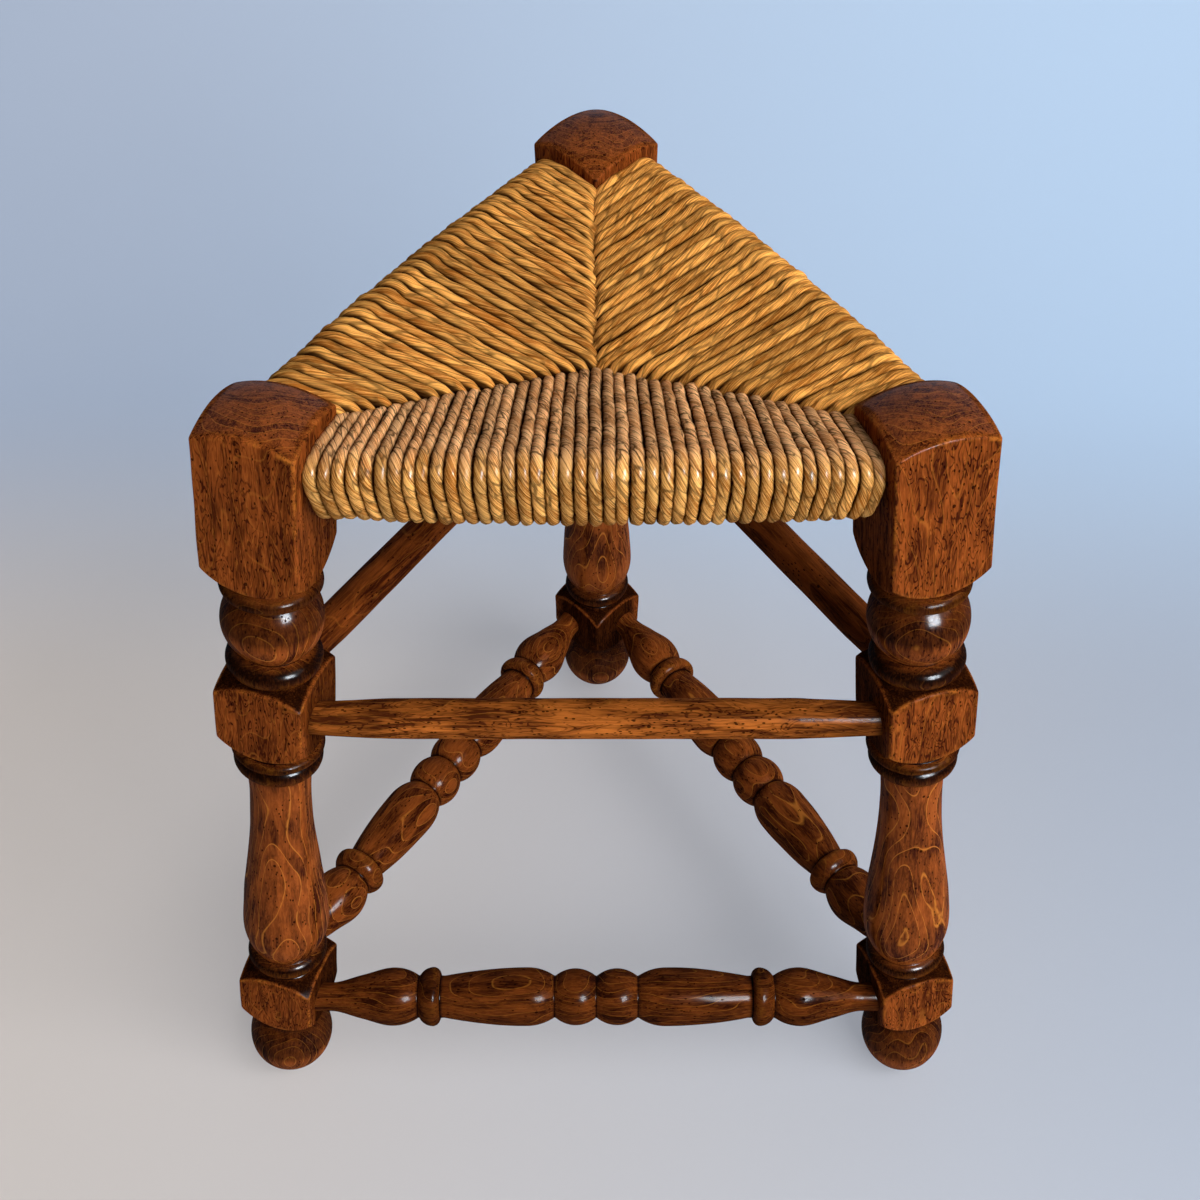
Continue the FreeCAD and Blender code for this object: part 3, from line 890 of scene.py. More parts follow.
@dataclass(frozen=True)
class Turner:
    """Turns outlines into rings of points with softened edges, in millimetres."""

    row_step: float = 1.35
    fine_step: float = 0.2
    edge_soft: float = 0.36
    hollow_soft: float = 2.4
    wide_soft: float = 6.5
    arris_r: float = 1.2
    crowding: float = 0.45
    near_groove_shade: float = 0.84
    edge_unshaded: float = 0.75

    def block_reach(self, angles: np.ndarray, side: float) -> np.ndarray:
        """How far a square block with rounded corners reaches at each angle.

        Args:
            angles: Angles round the axis, zero at a corner.
            side: The block's width.

        Returns:
            Radius at each angle.
        """
        off = np.abs((angles + math.pi / 4) % (math.pi / 2) - math.pi / 4)
        face = side / 2.0 / np.cos(math.pi / 4 - off)
        centre = math.sqrt(2.0) * (side / 2.0 - self.arris_r)
        slack = np.maximum(self.arris_r ** 2 - (centre * np.sin(off)) ** 2, 0.0)
        corner = centre * np.cos(off) + np.sqrt(slack)
        edge = self.arris_r / math.sqrt(2.0)
        return np.where(off < math.atan2(edge, centre + edge), corner, face)

    def cut(self, points: np.ndarray, kind: Stretch, reach: float) -> np.ndarray:
        """Cuts a shoulder or cap of a block back to the block's reach at one angle."""
        steps = np.arange(len(points), dtype=float)
        if kind is Stretch.SHOULDER:
            span = np.linspace(0.0, np.interp(reach, points[:, 0], steps), len(points))
        else:
            span = np.linspace(np.interp(-reach, -points[:, 0], steps), steps[-1], len(points))
        return read_line(span, steps, points)

    def column(self, outline: Outline, angle: float) -> list[np.ndarray]:
        """The outline's stretches at one angle round the axis, with its blocks cut square."""
        made = []
        for kind, side, points in outline.stretches:
            if kind in (Stretch.SHOULDER, Stretch.CAP):
                points = self.cut(points, kind, float(self.block_reach(np.array(angle), side)))
            made.append(points)
        for number, (kind, side, points) in enumerate(outline.stretches):
            if kind is Stretch.FACE:
                share = np.linspace(0.0, 1.0, len(points))[:, None]
                made[number] = made[number - 1][-1] * (1.0 - share) + made[number + 1][0] * share
        return made

    def blurred(self, line: np.ndarray, soft: float) -> np.ndarray:
        """Softens an even polyline whose ends lie on the axis.

        Args:
            line: Radius and height at even steps.
            soft: Width of the softening, in millimetres.

        Returns:
            The softened polyline.
        """
        reach = int(4 * soft / self.fine_step)
        weights = np.exp(-0.5 * (np.arange(-reach, reach + 1) * self.fine_step / soft) ** 2)
        weights /= weights.sum()
        before = line[1:reach + 1][::-1] * np.array([-1.0, 1.0])
        after = line[-reach - 1:-1][::-1] * np.array([-1.0, 1.0])
        padded = np.concatenate([before, line, after])
        return np.stack([np.convolve(padded[:, axis], weights, "valid") for axis in (0, 1)], axis=-1)

    def rings(self, outline: Outline, angles: np.ndarray) -> Grids:
        """Rings of points of a turned outline.

        Args:
            outline: The outline, from pole to pole.
            angles: Angles of the columns.

        Returns:
            Arrays by row and column: radius, height, hollow and wide (positive in hollows, negative on
            edges, at two scales), kind (number of the stretch's kind) and shade.
        """
        counts = [max(4, round(np.linalg.norm(np.diff(p, axis=0), axis=1).sum() / self.row_step))
                  for _, _, p in outline.stretches]
        kinds = np.repeat([kind.value for kind, _, _ in outline.stretches], counts)
        kinds = np.append(kinds, kinds[-1])
        shades = np.repeat(outline.shades, counts)
        shades = np.convolve(np.pad(np.append(shades, shades[-1]), 2, "edge"), np.ones(5) / 5.0, "valid")
        columns: dict[str, list[np.ndarray]] = {"radius": [], "height": [], "hollow": [], "wide": []}
        for angle in angles:
            stretches = self.column(outline, angle)
            line = np.concatenate(stretches)
            gone = np.concatenate([[0.0], np.cumsum(np.linalg.norm(np.diff(line, axis=0), axis=1))])
            marks = gone[np.concatenate([[0], np.cumsum([len(p) for p in stretches]) - 1])]
            even = np.linspace(0.0, gone[-1], int(gone[-1] / self.fine_step))
            sharp = read_line(even, gone, line)
            fine = self.blurred(sharp, self.edge_soft)
            along = np.gradient(fine, axis=0)
            outward = np.stack([along[:, 1], -along[:, 0]], axis=-1)
            outward /= np.maximum(np.linalg.norm(outward, axis=1, keepdims=True), 1e-9)
            depth = ((self.blurred(sharp, self.hollow_soft) - fine) * outward).sum(axis=1)
            breadth = ((self.blurred(sharp, self.wide_soft) - fine) * outward).sum(axis=1)
            stops = [marks[0]]
            for count, start, end in zip(counts, marks[:-1], marks[1:]):
                share = np.linspace(0.0, 1.0, count + 1)[1:]
                eased = share + self.crowding * ((1.0 - np.cos(math.pi * share)) / 2.0 - share)
                stops.extend(start + eased * (end - start))
            for name, values in zip(columns, (fine[:, 0], fine[:, 1], depth, breadth)):
                columns[name].append(np.interp(stops, even, values))
        made = {name: np.array(values).T for name, values in columns.items()}
        made["kind"] = np.repeat(kinds[:, None], len(angles), axis=1)
        made["shade"] = np.repeat(shades[:, None], len(angles), axis=1)
        return made

    def uneven(self, grids: Grids, angles: np.ndarray, depth_share: float, wavelength: float,
               seed: int) -> np.ndarray:
        """Points along a turned piece's own axis, uneven as hand turning leaves them.

        Args:
            grids: The piece's rings.
            angles: Angles of the columns.
            depth_share: How deep the unevenness is for each unit of radius.
            wavelength: Usual distance between swells.
            seed: Picks the pattern.

        Returns:
            Points by row and column.
        """
        radius = grids["radius"]
        local = np.stack([radius * np.cos(angles), radius * np.sin(angles), grids["height"]], axis=-1)
        swell = 1.0 + depth_share * ripple(local, wavelength, seed)
        return local * np.stack([swell, swell, np.ones_like(swell)], axis=-1)

    def grime(self, grids: Grids) -> np.ndarray:
        """How dark painted shade, with some old wax and soiling, lies: most in the grooves, some near them
        and on shaded stretches.
        """
        block = grids["kind"] != Stretch.ROUND.value
        # Painted shade in and near the grooves and on the stretches that the outline shades; block edges
        # get less of it.
        edge = np.where(block, smooth_step(0.2, 0.6, -grids["hollow"]), 0.0)
        near = self.near_groove_shade * smooth_step(0.15, 2.4, grids["wide"])
        shaded = np.maximum(grids["shade"], near) * (1.0 - self.edge_unshaded * edge)
        return np.maximum(smooth_step(0.05, 0.7, grids["hollow"]), shaded)


@dataclass(frozen=True)
class Leg:
    """One turned leg, told up its own axis, in millimetres."""

    stance: Stance
    corner: Corner
    pith_deg: float
    foot_flat_r: float = 10.5
    foot_r: float = 22.5
    foot_widest_h: float = 22.3
    foot_h: float = 41.0
    foot_neck_r: float = 16.0
    low_neck_h: float = 5.0
    low_side: float = 40.2
    low_shoulder_h: float = 13.9
    low_face_h: float = 22.0
    low_cap_h: float = 7.9
    low_cap_r: float = 16.5
    low_gap_h: float = 2.5
    low_ring_h: float = 10.0
    low_ring_r: float = 20.75
    vase_h: float = 138.3
    vase_foot_r: float = 17.0
    vase_belly_r: float = 22.15
    vase_belly_h: float = 21.7
    vase_waist_r: float = 14.8
    vase_neck_r: float = 15.3
    wide_ring_h: float = 10.8
    wide_ring_r: float = 21.15
    thin_ring_h: float = 5.2
    thin_ring_r: float = 22.15
    mid_neck_h: float = 1.9
    mid_neck_r: float = 18.5
    mid_side: float = 42.2
    mid_shoulder_h: float = 11.3
    mid_face_h: float = 26.5
    mid_cap_h: float = 7.2
    mid_cap_r: float = 17.5
    under_ring_h: float = 12.0
    under_ring_r: float = 21.9
    ball_h: float = 34.5
    ball_r: float = 23.0
    ball_end_r: float = 15.0
    over_ring_h: float = 7.6
    over_ring_r: float = 22.8
    top_neck_h: float = 0.9
    top_neck_r: float = 18.0
    top_side: float = 44.6
    top_shoulder_h: float = 12.3
    top_face_h: float = 64.3
    dome_r: float = 57.0
    bow_share: float = 0.07
    pith_out: float = 34.0
    foot_shades: tuple[float, ...] = (0.2, 0.7, 0.9)
    ball_shade: float = 0.72
    dome_shade: float = 0.3
    vase_up_shares: tuple[float, ...] = (0.17, 0.34, 0.51, 0.68, 0.84)
    vase_narrow_shares: tuple[float, ...] = (0.15, 0.45, 0.75, 0.94, 1.0)
    inner_heights: tuple[float, ...] = (65.0, 265.0, 390.0)
    inner_shades: tuple[float, ...] = (0.84, 0.72, 0.18)
    wear_share: float = 1.0
    edge_wear: float = 0.8
    wear_length: float = 9.0
    arris_wear_w: float = 0.8
    inner_spared: float = 0.7
    unevenness: float = 0.16
    uneven_r: float = 22.0
    uneven_length: float = 38.0
    log_length: float = 900.0
    column_degs: tuple[float, ...] = (0.0, 0.9, 1.8, 2.8, 4.2, 6.5, 10.0, 14.5, 19.5, 25.0, 30.5, 36.0,
                                      40.5, 45.0)

    @property
    def name(self) -> str:
        """The leg's node name."""
        return "leg_" + self.corner.name.lower()

    def outline(self) -> Outline:
        """The leg's outline from the middle of its foot to the top of its dome."""
        drop = self.foot_r - self.foot_flat_r
        arc_r = (drop ** 2 + self.foot_widest_h ** 2) / (2.0 * drop)
        made = Outline(0.0, self.foot_widest_h - math.sqrt(arc_r ** 2 - (arc_r - self.foot_r) ** 2))
        made.shade = self.foot_shades[0]
        made.swell_to(self.foot_r, self.foot_widest_h)
        made.shade = self.foot_shades[1]
        made.shrink_to(self.foot_neck_r, self.foot_h)
        made.shade = self.foot_shades[2]
        made.line_to(self.foot_neck_r, self.foot_h + self.low_neck_h)
        made.shade = 0.0
        low = made.at[1] + self.low_shoulder_h
        made.block_to(self.low_side, low, low + self.low_face_h, self.bow_share)
        made.cap_to(self.low_cap_r, made.at[1] + self.low_cap_h, self.low_side, self.bow_share)
        made.line_to(self.low_cap_r, made.at[1] + self.low_gap_h)
        made.bead(self.low_ring_r, self.low_ring_h)
        self.add_vase(made)
        made.bead(self.wide_ring_r, self.wide_ring_h)
        made.bead(self.thin_ring_r, self.thin_ring_h)
        made.line_to(self.mid_neck_r, made.at[1])
        made.line_to(self.mid_neck_r, made.at[1] + self.mid_neck_h)
        low = made.at[1] + self.mid_shoulder_h
        made.block_to(self.mid_side, low, low + self.mid_face_h, self.bow_share)
        made.cap_to(self.mid_cap_r, made.at[1] + self.mid_cap_h, self.mid_side, self.bow_share)
        made.bead(self.under_ring_r, self.under_ring_h)
        made.line_to(self.ball_end_r, made.at[1])
        made.shade = 0.0
        made.swell_to(self.ball_r, made.at[1] + self.ball_h / 2.0)
        made.shade = self.ball_shade
        made.shrink_to(self.ball_end_r, made.at[1] + self.ball_h / 2.0)
        made.bead(self.over_ring_r, self.over_ring_h)
        made.line_to(self.top_neck_r, made.at[1])
        made.line_to(self.top_neck_r, made.at[1] + self.top_neck_h)
        low = made.at[1] + self.top_shoulder_h
        made.block_to(self.top_side, low, low + self.top_face_h, self.bow_share)
        rise = self.dome_r - math.sqrt(self.dome_r ** 2 - made.at[0] ** 2)
        made.shade = self.dome_shade
        made.dome_to(made.at[1] + rise, self.dome_r, self.top_side)
        return made

    def add_vase(self, outline: Outline) -> None:
        """Adds the long vase between the lower and the middle block to an outline."""
        base = outline.at[1]
        outline.line_to(self.vase_foot_r, base)
        outline.swell_to(self.vase_belly_r, base + self.vase_belly_h)
        length = self.vase_h - self.vase_belly_h
        narrowing = self.vase_belly_r - self.vase_waist_r
        points = [(self.vase_belly_r - n * narrowing, base + self.vase_belly_h + u * length)
                  for u, n in zip(self.vase_up_shares, self.vase_narrow_shares)]
        outline.curve_to(points + [(self.vase_neck_r, base + self.vase_h)])

    def columns(self) -> np.ndarray:
        """Angles of the mesh's columns, closer together at the blocks' corners."""
        half = np.radians(np.array(self.column_degs))
        quarter = np.concatenate([half[:-1], math.pi / 2 - half[:0:-1]])
        return np.concatenate([quarter + turn * math.pi / 2 for turn in range(4)])

    def build(self, turner: Turner, material: bpy.types.Material) -> bpy.types.Object:
        """Builds and dresses the leg.

        Args:
            turner: Turns the outline.
            material: The leg's wood.

        Returns:
            The leg.
        """
        angles = self.columns()
        grids = turner.rings(self.outline(), angles)
        kind, hollow = grids["kind"], grids["hollow"]
        depth_share = self.unevenness / self.uneven_r
        local = turner.uneven(grids, angles, depth_share, self.uneven_length, 11 + self.corner.value)
        points = self.stance.leg_to_frame(local, self.corner)
        points[..., 2] = np.maximum(points[..., 2], 0.0)
        grain = grain_place(local, self.pith_out, self.pith_deg, self.log_length * self.corner.value)
        corner_off = np.abs((angles + math.pi / 4) % (math.pi / 2) - math.pi / 4)
        arris = np.exp(-(grids["radius"] * np.sin(corner_off) / self.arris_wear_w) ** 2)
        arris = np.where(kind == Stretch.FACE.value, arris, 0.0)
        wear = self.edge_wear * np.maximum(smooth_step(0.22, 0.62, -hollow), arris)
        wear *= smooth_step(-0.6, 0.5, ripple(local, self.wear_length, 31 + self.corner.value))
        inwardness = smooth_step(0.02, 0.3, -np.cos(angles))
        wear *= self.wear_share * (1.0 - self.inner_spared * inwardness)
        dome = (kind == Stretch.CAP.value) & (grids["shade"] < 0.5) & (hollow > -0.12)
        square = np.where(kind == Stretch.ROUND.value, 0.0, np.where(dome, 0.5, 1.0))
        sides = np.isin(kind, (Stretch.FACE.value, Stretch.SHOULDER.value))
        # Painted shade on the block faces turned towards the stool's middle, deepest on the low blocks and
        # faint on the top ones.
        inner = np.interp(grids["height"], self.inner_heights, self.inner_shades)
        grime = np.maximum(turner.grime(grids), np.where(sides, inner * inwardness, 0.0))
        mesh = closed_tube(self.name, points, grain=grain, wear=wear, grime=grime, square=square)
        return piece_from_mesh(f"{self.name}_waxed", mesh, material, "wood", self.name)


@dataclass(frozen=True)
class Stick:
    """A turned stick between two legs; its place and length come from its CAD node at the front."""

    stance: Stance
    kind: str
    side: Side
    columns: int = 56
    pith_out: float = 26.0
    pith_deg: float = -40.0
    log_length: float = 700.0
    kind_length: float = 170.0
    edge_wear: float = 0.7
    wear_length: float = 9.0
    unevenness: float = 0.10
    uneven_r: float = 12.0
    uneven_length: float = 30.0
    top_darkening: float = 0.0
    darkening: float = 0.0

    @property
    def name(self) -> str:
        """The stick's node name."""
        return f"{self.kind}_{self.side.name.lower()}"

    def box(self) -> np.ndarray:
        """Low and high corner of the stick's CAD node at the front, in millimetres."""
        return np.array(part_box(f"{self.kind}_{Side.FRONT.name.lower()}")) / MM

    def half_outline(self, half: float) -> Outline:
        """The outline from the stick's middle to its end.

        Args:
            half: Half the stick's length.

        Returns:
            The half outline.
        """
        raise NotImplementedError

    def build(self, turner: Turner, material: bpy.types.Material) -> bpy.types.Object:
        """Builds and dresses the stick.

        Args:
            turner: Turns the outline.
            material: The stick's wood.

        Returns:
            The stick.
        """
        low, high = self.box()
        angles = np.linspace(0.0, 2.0 * math.pi, self.columns, endpoint=False)
        grids = turner.rings(self.half_outline((high[0] - low[0]) / 2.0).mirrored(), angles)
        seed = 50 + 10 * len(self.kind) + self.side.value
        local = turner.uneven(grids, angles, self.unevenness / self.uneven_r, self.uneven_length, seed)
        middle = (low + high) / 2.0 - np.array([0.0, self.stance.middle_y, 0.0])
        laid = np.stack([local[..., 2], local[..., 1], -local[..., 0]], axis=-1) + middle
        points = self.stance.side_to_frame(laid, self.side.value)
        shift = self.log_length * (1 + self.side.value) + self.kind_length * len(self.kind)
        grain = grain_place(local, self.pith_out, self.pith_deg, shift)
        wear = self.edge_wear * smooth_step(0.2, 0.6, -grids["hollow"])
        wear *= smooth_step(-0.5, 0.5, ripple(local, self.wear_length, seed + 1))
        # The outline's painted shade, and darker on top.
        grime = np.maximum(turner.grime(grids), self.top_darkening * smooth_step(0.2, 0.95, -np.cos(angles)))
        mesh = closed_tube(self.name, points, grain=grain, wear=wear, grime=grime)
        return piece_from_mesh(f"{self.name}_waxed", mesh, material, "wood", self.name)


@dataclass(frozen=True)
class Rung(Stick):
    """A plain rung that thins towards its ends, darker on top, with painted shade near its ends."""

    top_darkening: float = 0.36
    radius: float = 9.45
    end_r: float = 7.8
    taper_l: float = 36.0
    depth: float = 18.0
    taper_shade: float = 0.3
    end_shade: float = 0.7

    def half_outline(self, half: float) -> Outline:
        """The outline from the rung's middle to its end."""
        made = Outline(self.radius, 0.0)
        made.shade = self.darkening
        made.line_to(self.radius, half - self.depth - self.taper_l)
        # Painted shade where the rung goes into the blocks.
        made.shade = max(self.darkening, self.taper_shade)
        made.line_to(self.end_r, half - self.depth)
        made.shade = self.end_shade
        made.line_to(self.end_r, half)
        made.line_to(0.0, half)
        return made


@dataclass(frozen=True)
class Rail(Stick):
    """A seat rail, hidden in the rush, with a shouldered tenon at each end."""

    radius: float = 10.5
    tenon_r: float = 6.0
    tenon_l: float = 14.0
    shoulder_l: float = 4.0
    bare_l: float = 4.5

    def half_outline(self, half: float) -> Outline:
        """The outline from the rail's middle to its end."""
        made = Outline(self.radius, 0.0)
        made.line_to(self.radius, half - self.tenon_l - self.bare_l - self.shoulder_l)
        made.line_to(self.tenon_r, half - self.tenon_l - self.bare_l)
        made.line_to(self.tenon_r, half)
        made.line_to(0.0, half)
        return made


@dataclass(frozen=True)
class Stretcher(Stick):
    """A turned stretcher: beads in the middle, then baluster, collar and bulb to each end."""

    bead_l: float = 22.5
    bead_r: float = 15.1
    groove_r: float = 10.9
    baluster_l: float = 59.5
    baluster_belly_l: float = 14.8
    baluster_r: float = 15.5
    baluster_end_r: float = 11.2
    cove_l: float = 2.6
    collar_l: float = 11.5
    collar_r: float = 15.6
    bulb_belly_l: float = 14.3
    bulb_r: float = 15.5
    neck_l: float = 6.0
    neck_r: float = 7.55
    depth: float = 18.0
    darkening: float = 0.4
    collar_darkening: float = 0.1
    lip_share: float = 0.9

    def half_outline(self, half: float) -> Outline:
        """The outline from the stretcher's middle to its end."""
        made = Outline(self.groove_r, 0.0)
        made.shade = self.darkening
        made.swell_to(self.bead_r, self.bead_l / 2.0)
        made.shrink_to(self.groove_r, self.bead_l)
        made.swell_to(self.baluster_r, self.bead_l + self.baluster_belly_l)
        made.shrink_to(self.baluster_end_r, self.bead_l + self.baluster_l)
        made.line_to(self.baluster_end_r, made.at[1] + self.cove_l)
        lip = self.collar_r - self.lip_share * (self.collar_r - self.baluster_end_r)
        collar_end = made.at[1] + self.collar_l
        made.shade = self.darkening + self.collar_darkening
        made.line_to(lip, made.at[1])
        made.swell_to(self.collar_r, made.at[1] + self.collar_r - lip)
        made.shrink_to(self.groove_r, collar_end)
        made.shade = self.darkening
        made.swell_to(self.bulb_r, collar_end + self.bulb_belly_l)
        neck = half - self.depth - self.neck_l
        middle = ((self.bulb_r + self.neck_r) / 2.0, (made.at[1] + neck) / 2.0)
        made.curve_to([middle, (self.neck_r, neck)])
        made.line_to(self.neck_r, half)
        made.line_to(0.0, half)
        return made


class StrandTree:
    """Geometry tree that lays a twisted rush strand along each path."""

    def __init__(self) -> None:
        """Builds the tree with its named inputs."""
        self.tree = bpy.data.node_groups.new("twisted_strands", "GeometryNodeTree")
        sockets = {"Paths": "NodeSocketGeometry", "Ring Step": FLOAT, "Sides": "NodeSocketInt",
                   "Leaves": FLOAT, "Leaf Depth": FLOAT, "Twist Pitch": FLOAT, "Flatness": FLOAT,
                   "Unevenness": FLOAT, "Seed": FLOAT, "Rush": "NodeSocketMaterial"}
        for name, kind in sockets.items():
            self.tree.interface.new_socket(name, in_out="INPUT", socket_type=kind)
        self.tree.interface.new_socket("Strands", in_out="OUTPUT", socket_type="NodeSocketGeometry")
        self.wires = Wiring(self.tree)
        self.join()

    def named(self, name: str, kind: str = "FLOAT") -> Value:
        """Gives the field of a named attribute."""
        return self.wires.give("GeometryNodeInputNamedAttribute", {"Name": name}, "Attribute",
                               data_type=kind)

    def stored(self, geometry: Value, name: str, value: Value, kind: str = "FLOAT") -> Value:
        """Stores a field as a named attribute on the points of a geometry."""
        inputs = {"Geometry": geometry, "Name": name, "Value": value}
        return self.wires.give("GeometryNodeStoreNamedAttribute", inputs, data_type=kind, domain="POINT")

    def join(self) -> None:
        """Joins the tree: paths to curves, curves to round tubes, tubes to twisted leaves."""
        give = self.wires.give
        sockets = self.tree.nodes.new("NodeGroupInput").outputs
        given = {socket.name: Value(self.wires, socket) for socket in sockets}
        girth, strand = self.named("girth"), self.named("strand")
        position = give("GeometryNodeInputPosition")
        curve = give("GeometryNodeMeshToCurve", {"Mesh": given["Paths"]})
        curve = give("GeometryNodeResampleCurve", {"Curve": curve, "Length": given["Ring Step"]},
                     mode="LENGTH")
        up = self.named("up", "FLOAT_VECTOR")
        curve = give("GeometryNodeSetCurveNormal", {"Curve": curve, "Normal": up}, mode="FREE")
        gone = give("GeometryNodeSplineParameter", output="Length") * (1.0 / MM)
        curve = self.stored(curve, "along", gone)
        ring = give("GeometryNodeCurvePrimitiveCircle", {"Resolution": given["Sides"], "Radius": 1.0})
        ring = self.stored(ring, "around", position, "FLOAT_VECTOR")
        tubes = give("GeometryNodeCurveToMesh", {"Curve": curve, "Profile Curve": ring, "Scale": girth,
                                                 "Fill Caps": True})
        cosine, sine, _ = self.wires.parts(self.named("around", "FLOAT_VECTOR"))
        along = self.named("along")
        tubes = self.stored(tubes, "lay", self.wires.joined(cosine, sine, along), "FLOAT_VECTOR")
        wound = self.wires.math("ARCTAN2", sine, cosine) + along * (2.0 * math.pi) / given["Twist Pitch"]
        wound += strand * 40.0
        leaf = abs(self.wires.math("COSINE", wound * (given["Leaves"] * 0.5)))
        groove = self.wires.math("POWER", 1.0 - leaf, 2.0)
        place = self.wires.vector("ADD", position, self.wires.joined(given["Seed"], strand * 3.0, 0.0))
        shape = (self.wires.noise(place, 130.0, 2.0) - 0.5) * given["Unevenness"]
        shape -= groove * given["Leaf Depth"]
        shape -= cosine * cosine * given["Flatness"]
        offset = self.wires.scaled(give("GeometryNodeInputNormal"), shape * girth)
        tubes = self.stored(tubes, "crown", cosine)
        for kind, inputs in (("SetPosition", {"Offset": offset}),
                             ("SetShadeSmooth", {"Shade Smooth": True}), ("RealizeInstances", {}),
                             ("SetMaterial", {"Material": given["Rush"]})):
            tubes = give(f"GeometryNode{kind}", {"Geometry": tubes, **inputs})
        self.wires.feed(self.tree.nodes.new("NodeGroupOutput").inputs["Strands"], tubes)

    def apply(self, piece: bpy.types.Object, values: dict[str, Any]) -> bpy.types.Mesh:
        """Runs the tree on a piece and gives the result as a plain mesh.

        Args:
            piece: Object whose mesh holds the paths.
            values: The tree's inputs by name.

        Returns:
            The strands' mesh.
        """
        modifier = piece.modifiers.new("strands", "NODES")
        modifier.node_group = self.tree
        for item in self.tree.interface.items_tree:
            if item.in_out == "INPUT" and item.name in values:
                modifier[item.identifier] = values[item.name]
        graph = bpy.context.evaluated_depsgraph_get()
        mesh = bpy.data.meshes.new_from_object(piece.evaluated_get(graph))
        piece.modifiers.remove(modifier)
        return mesh


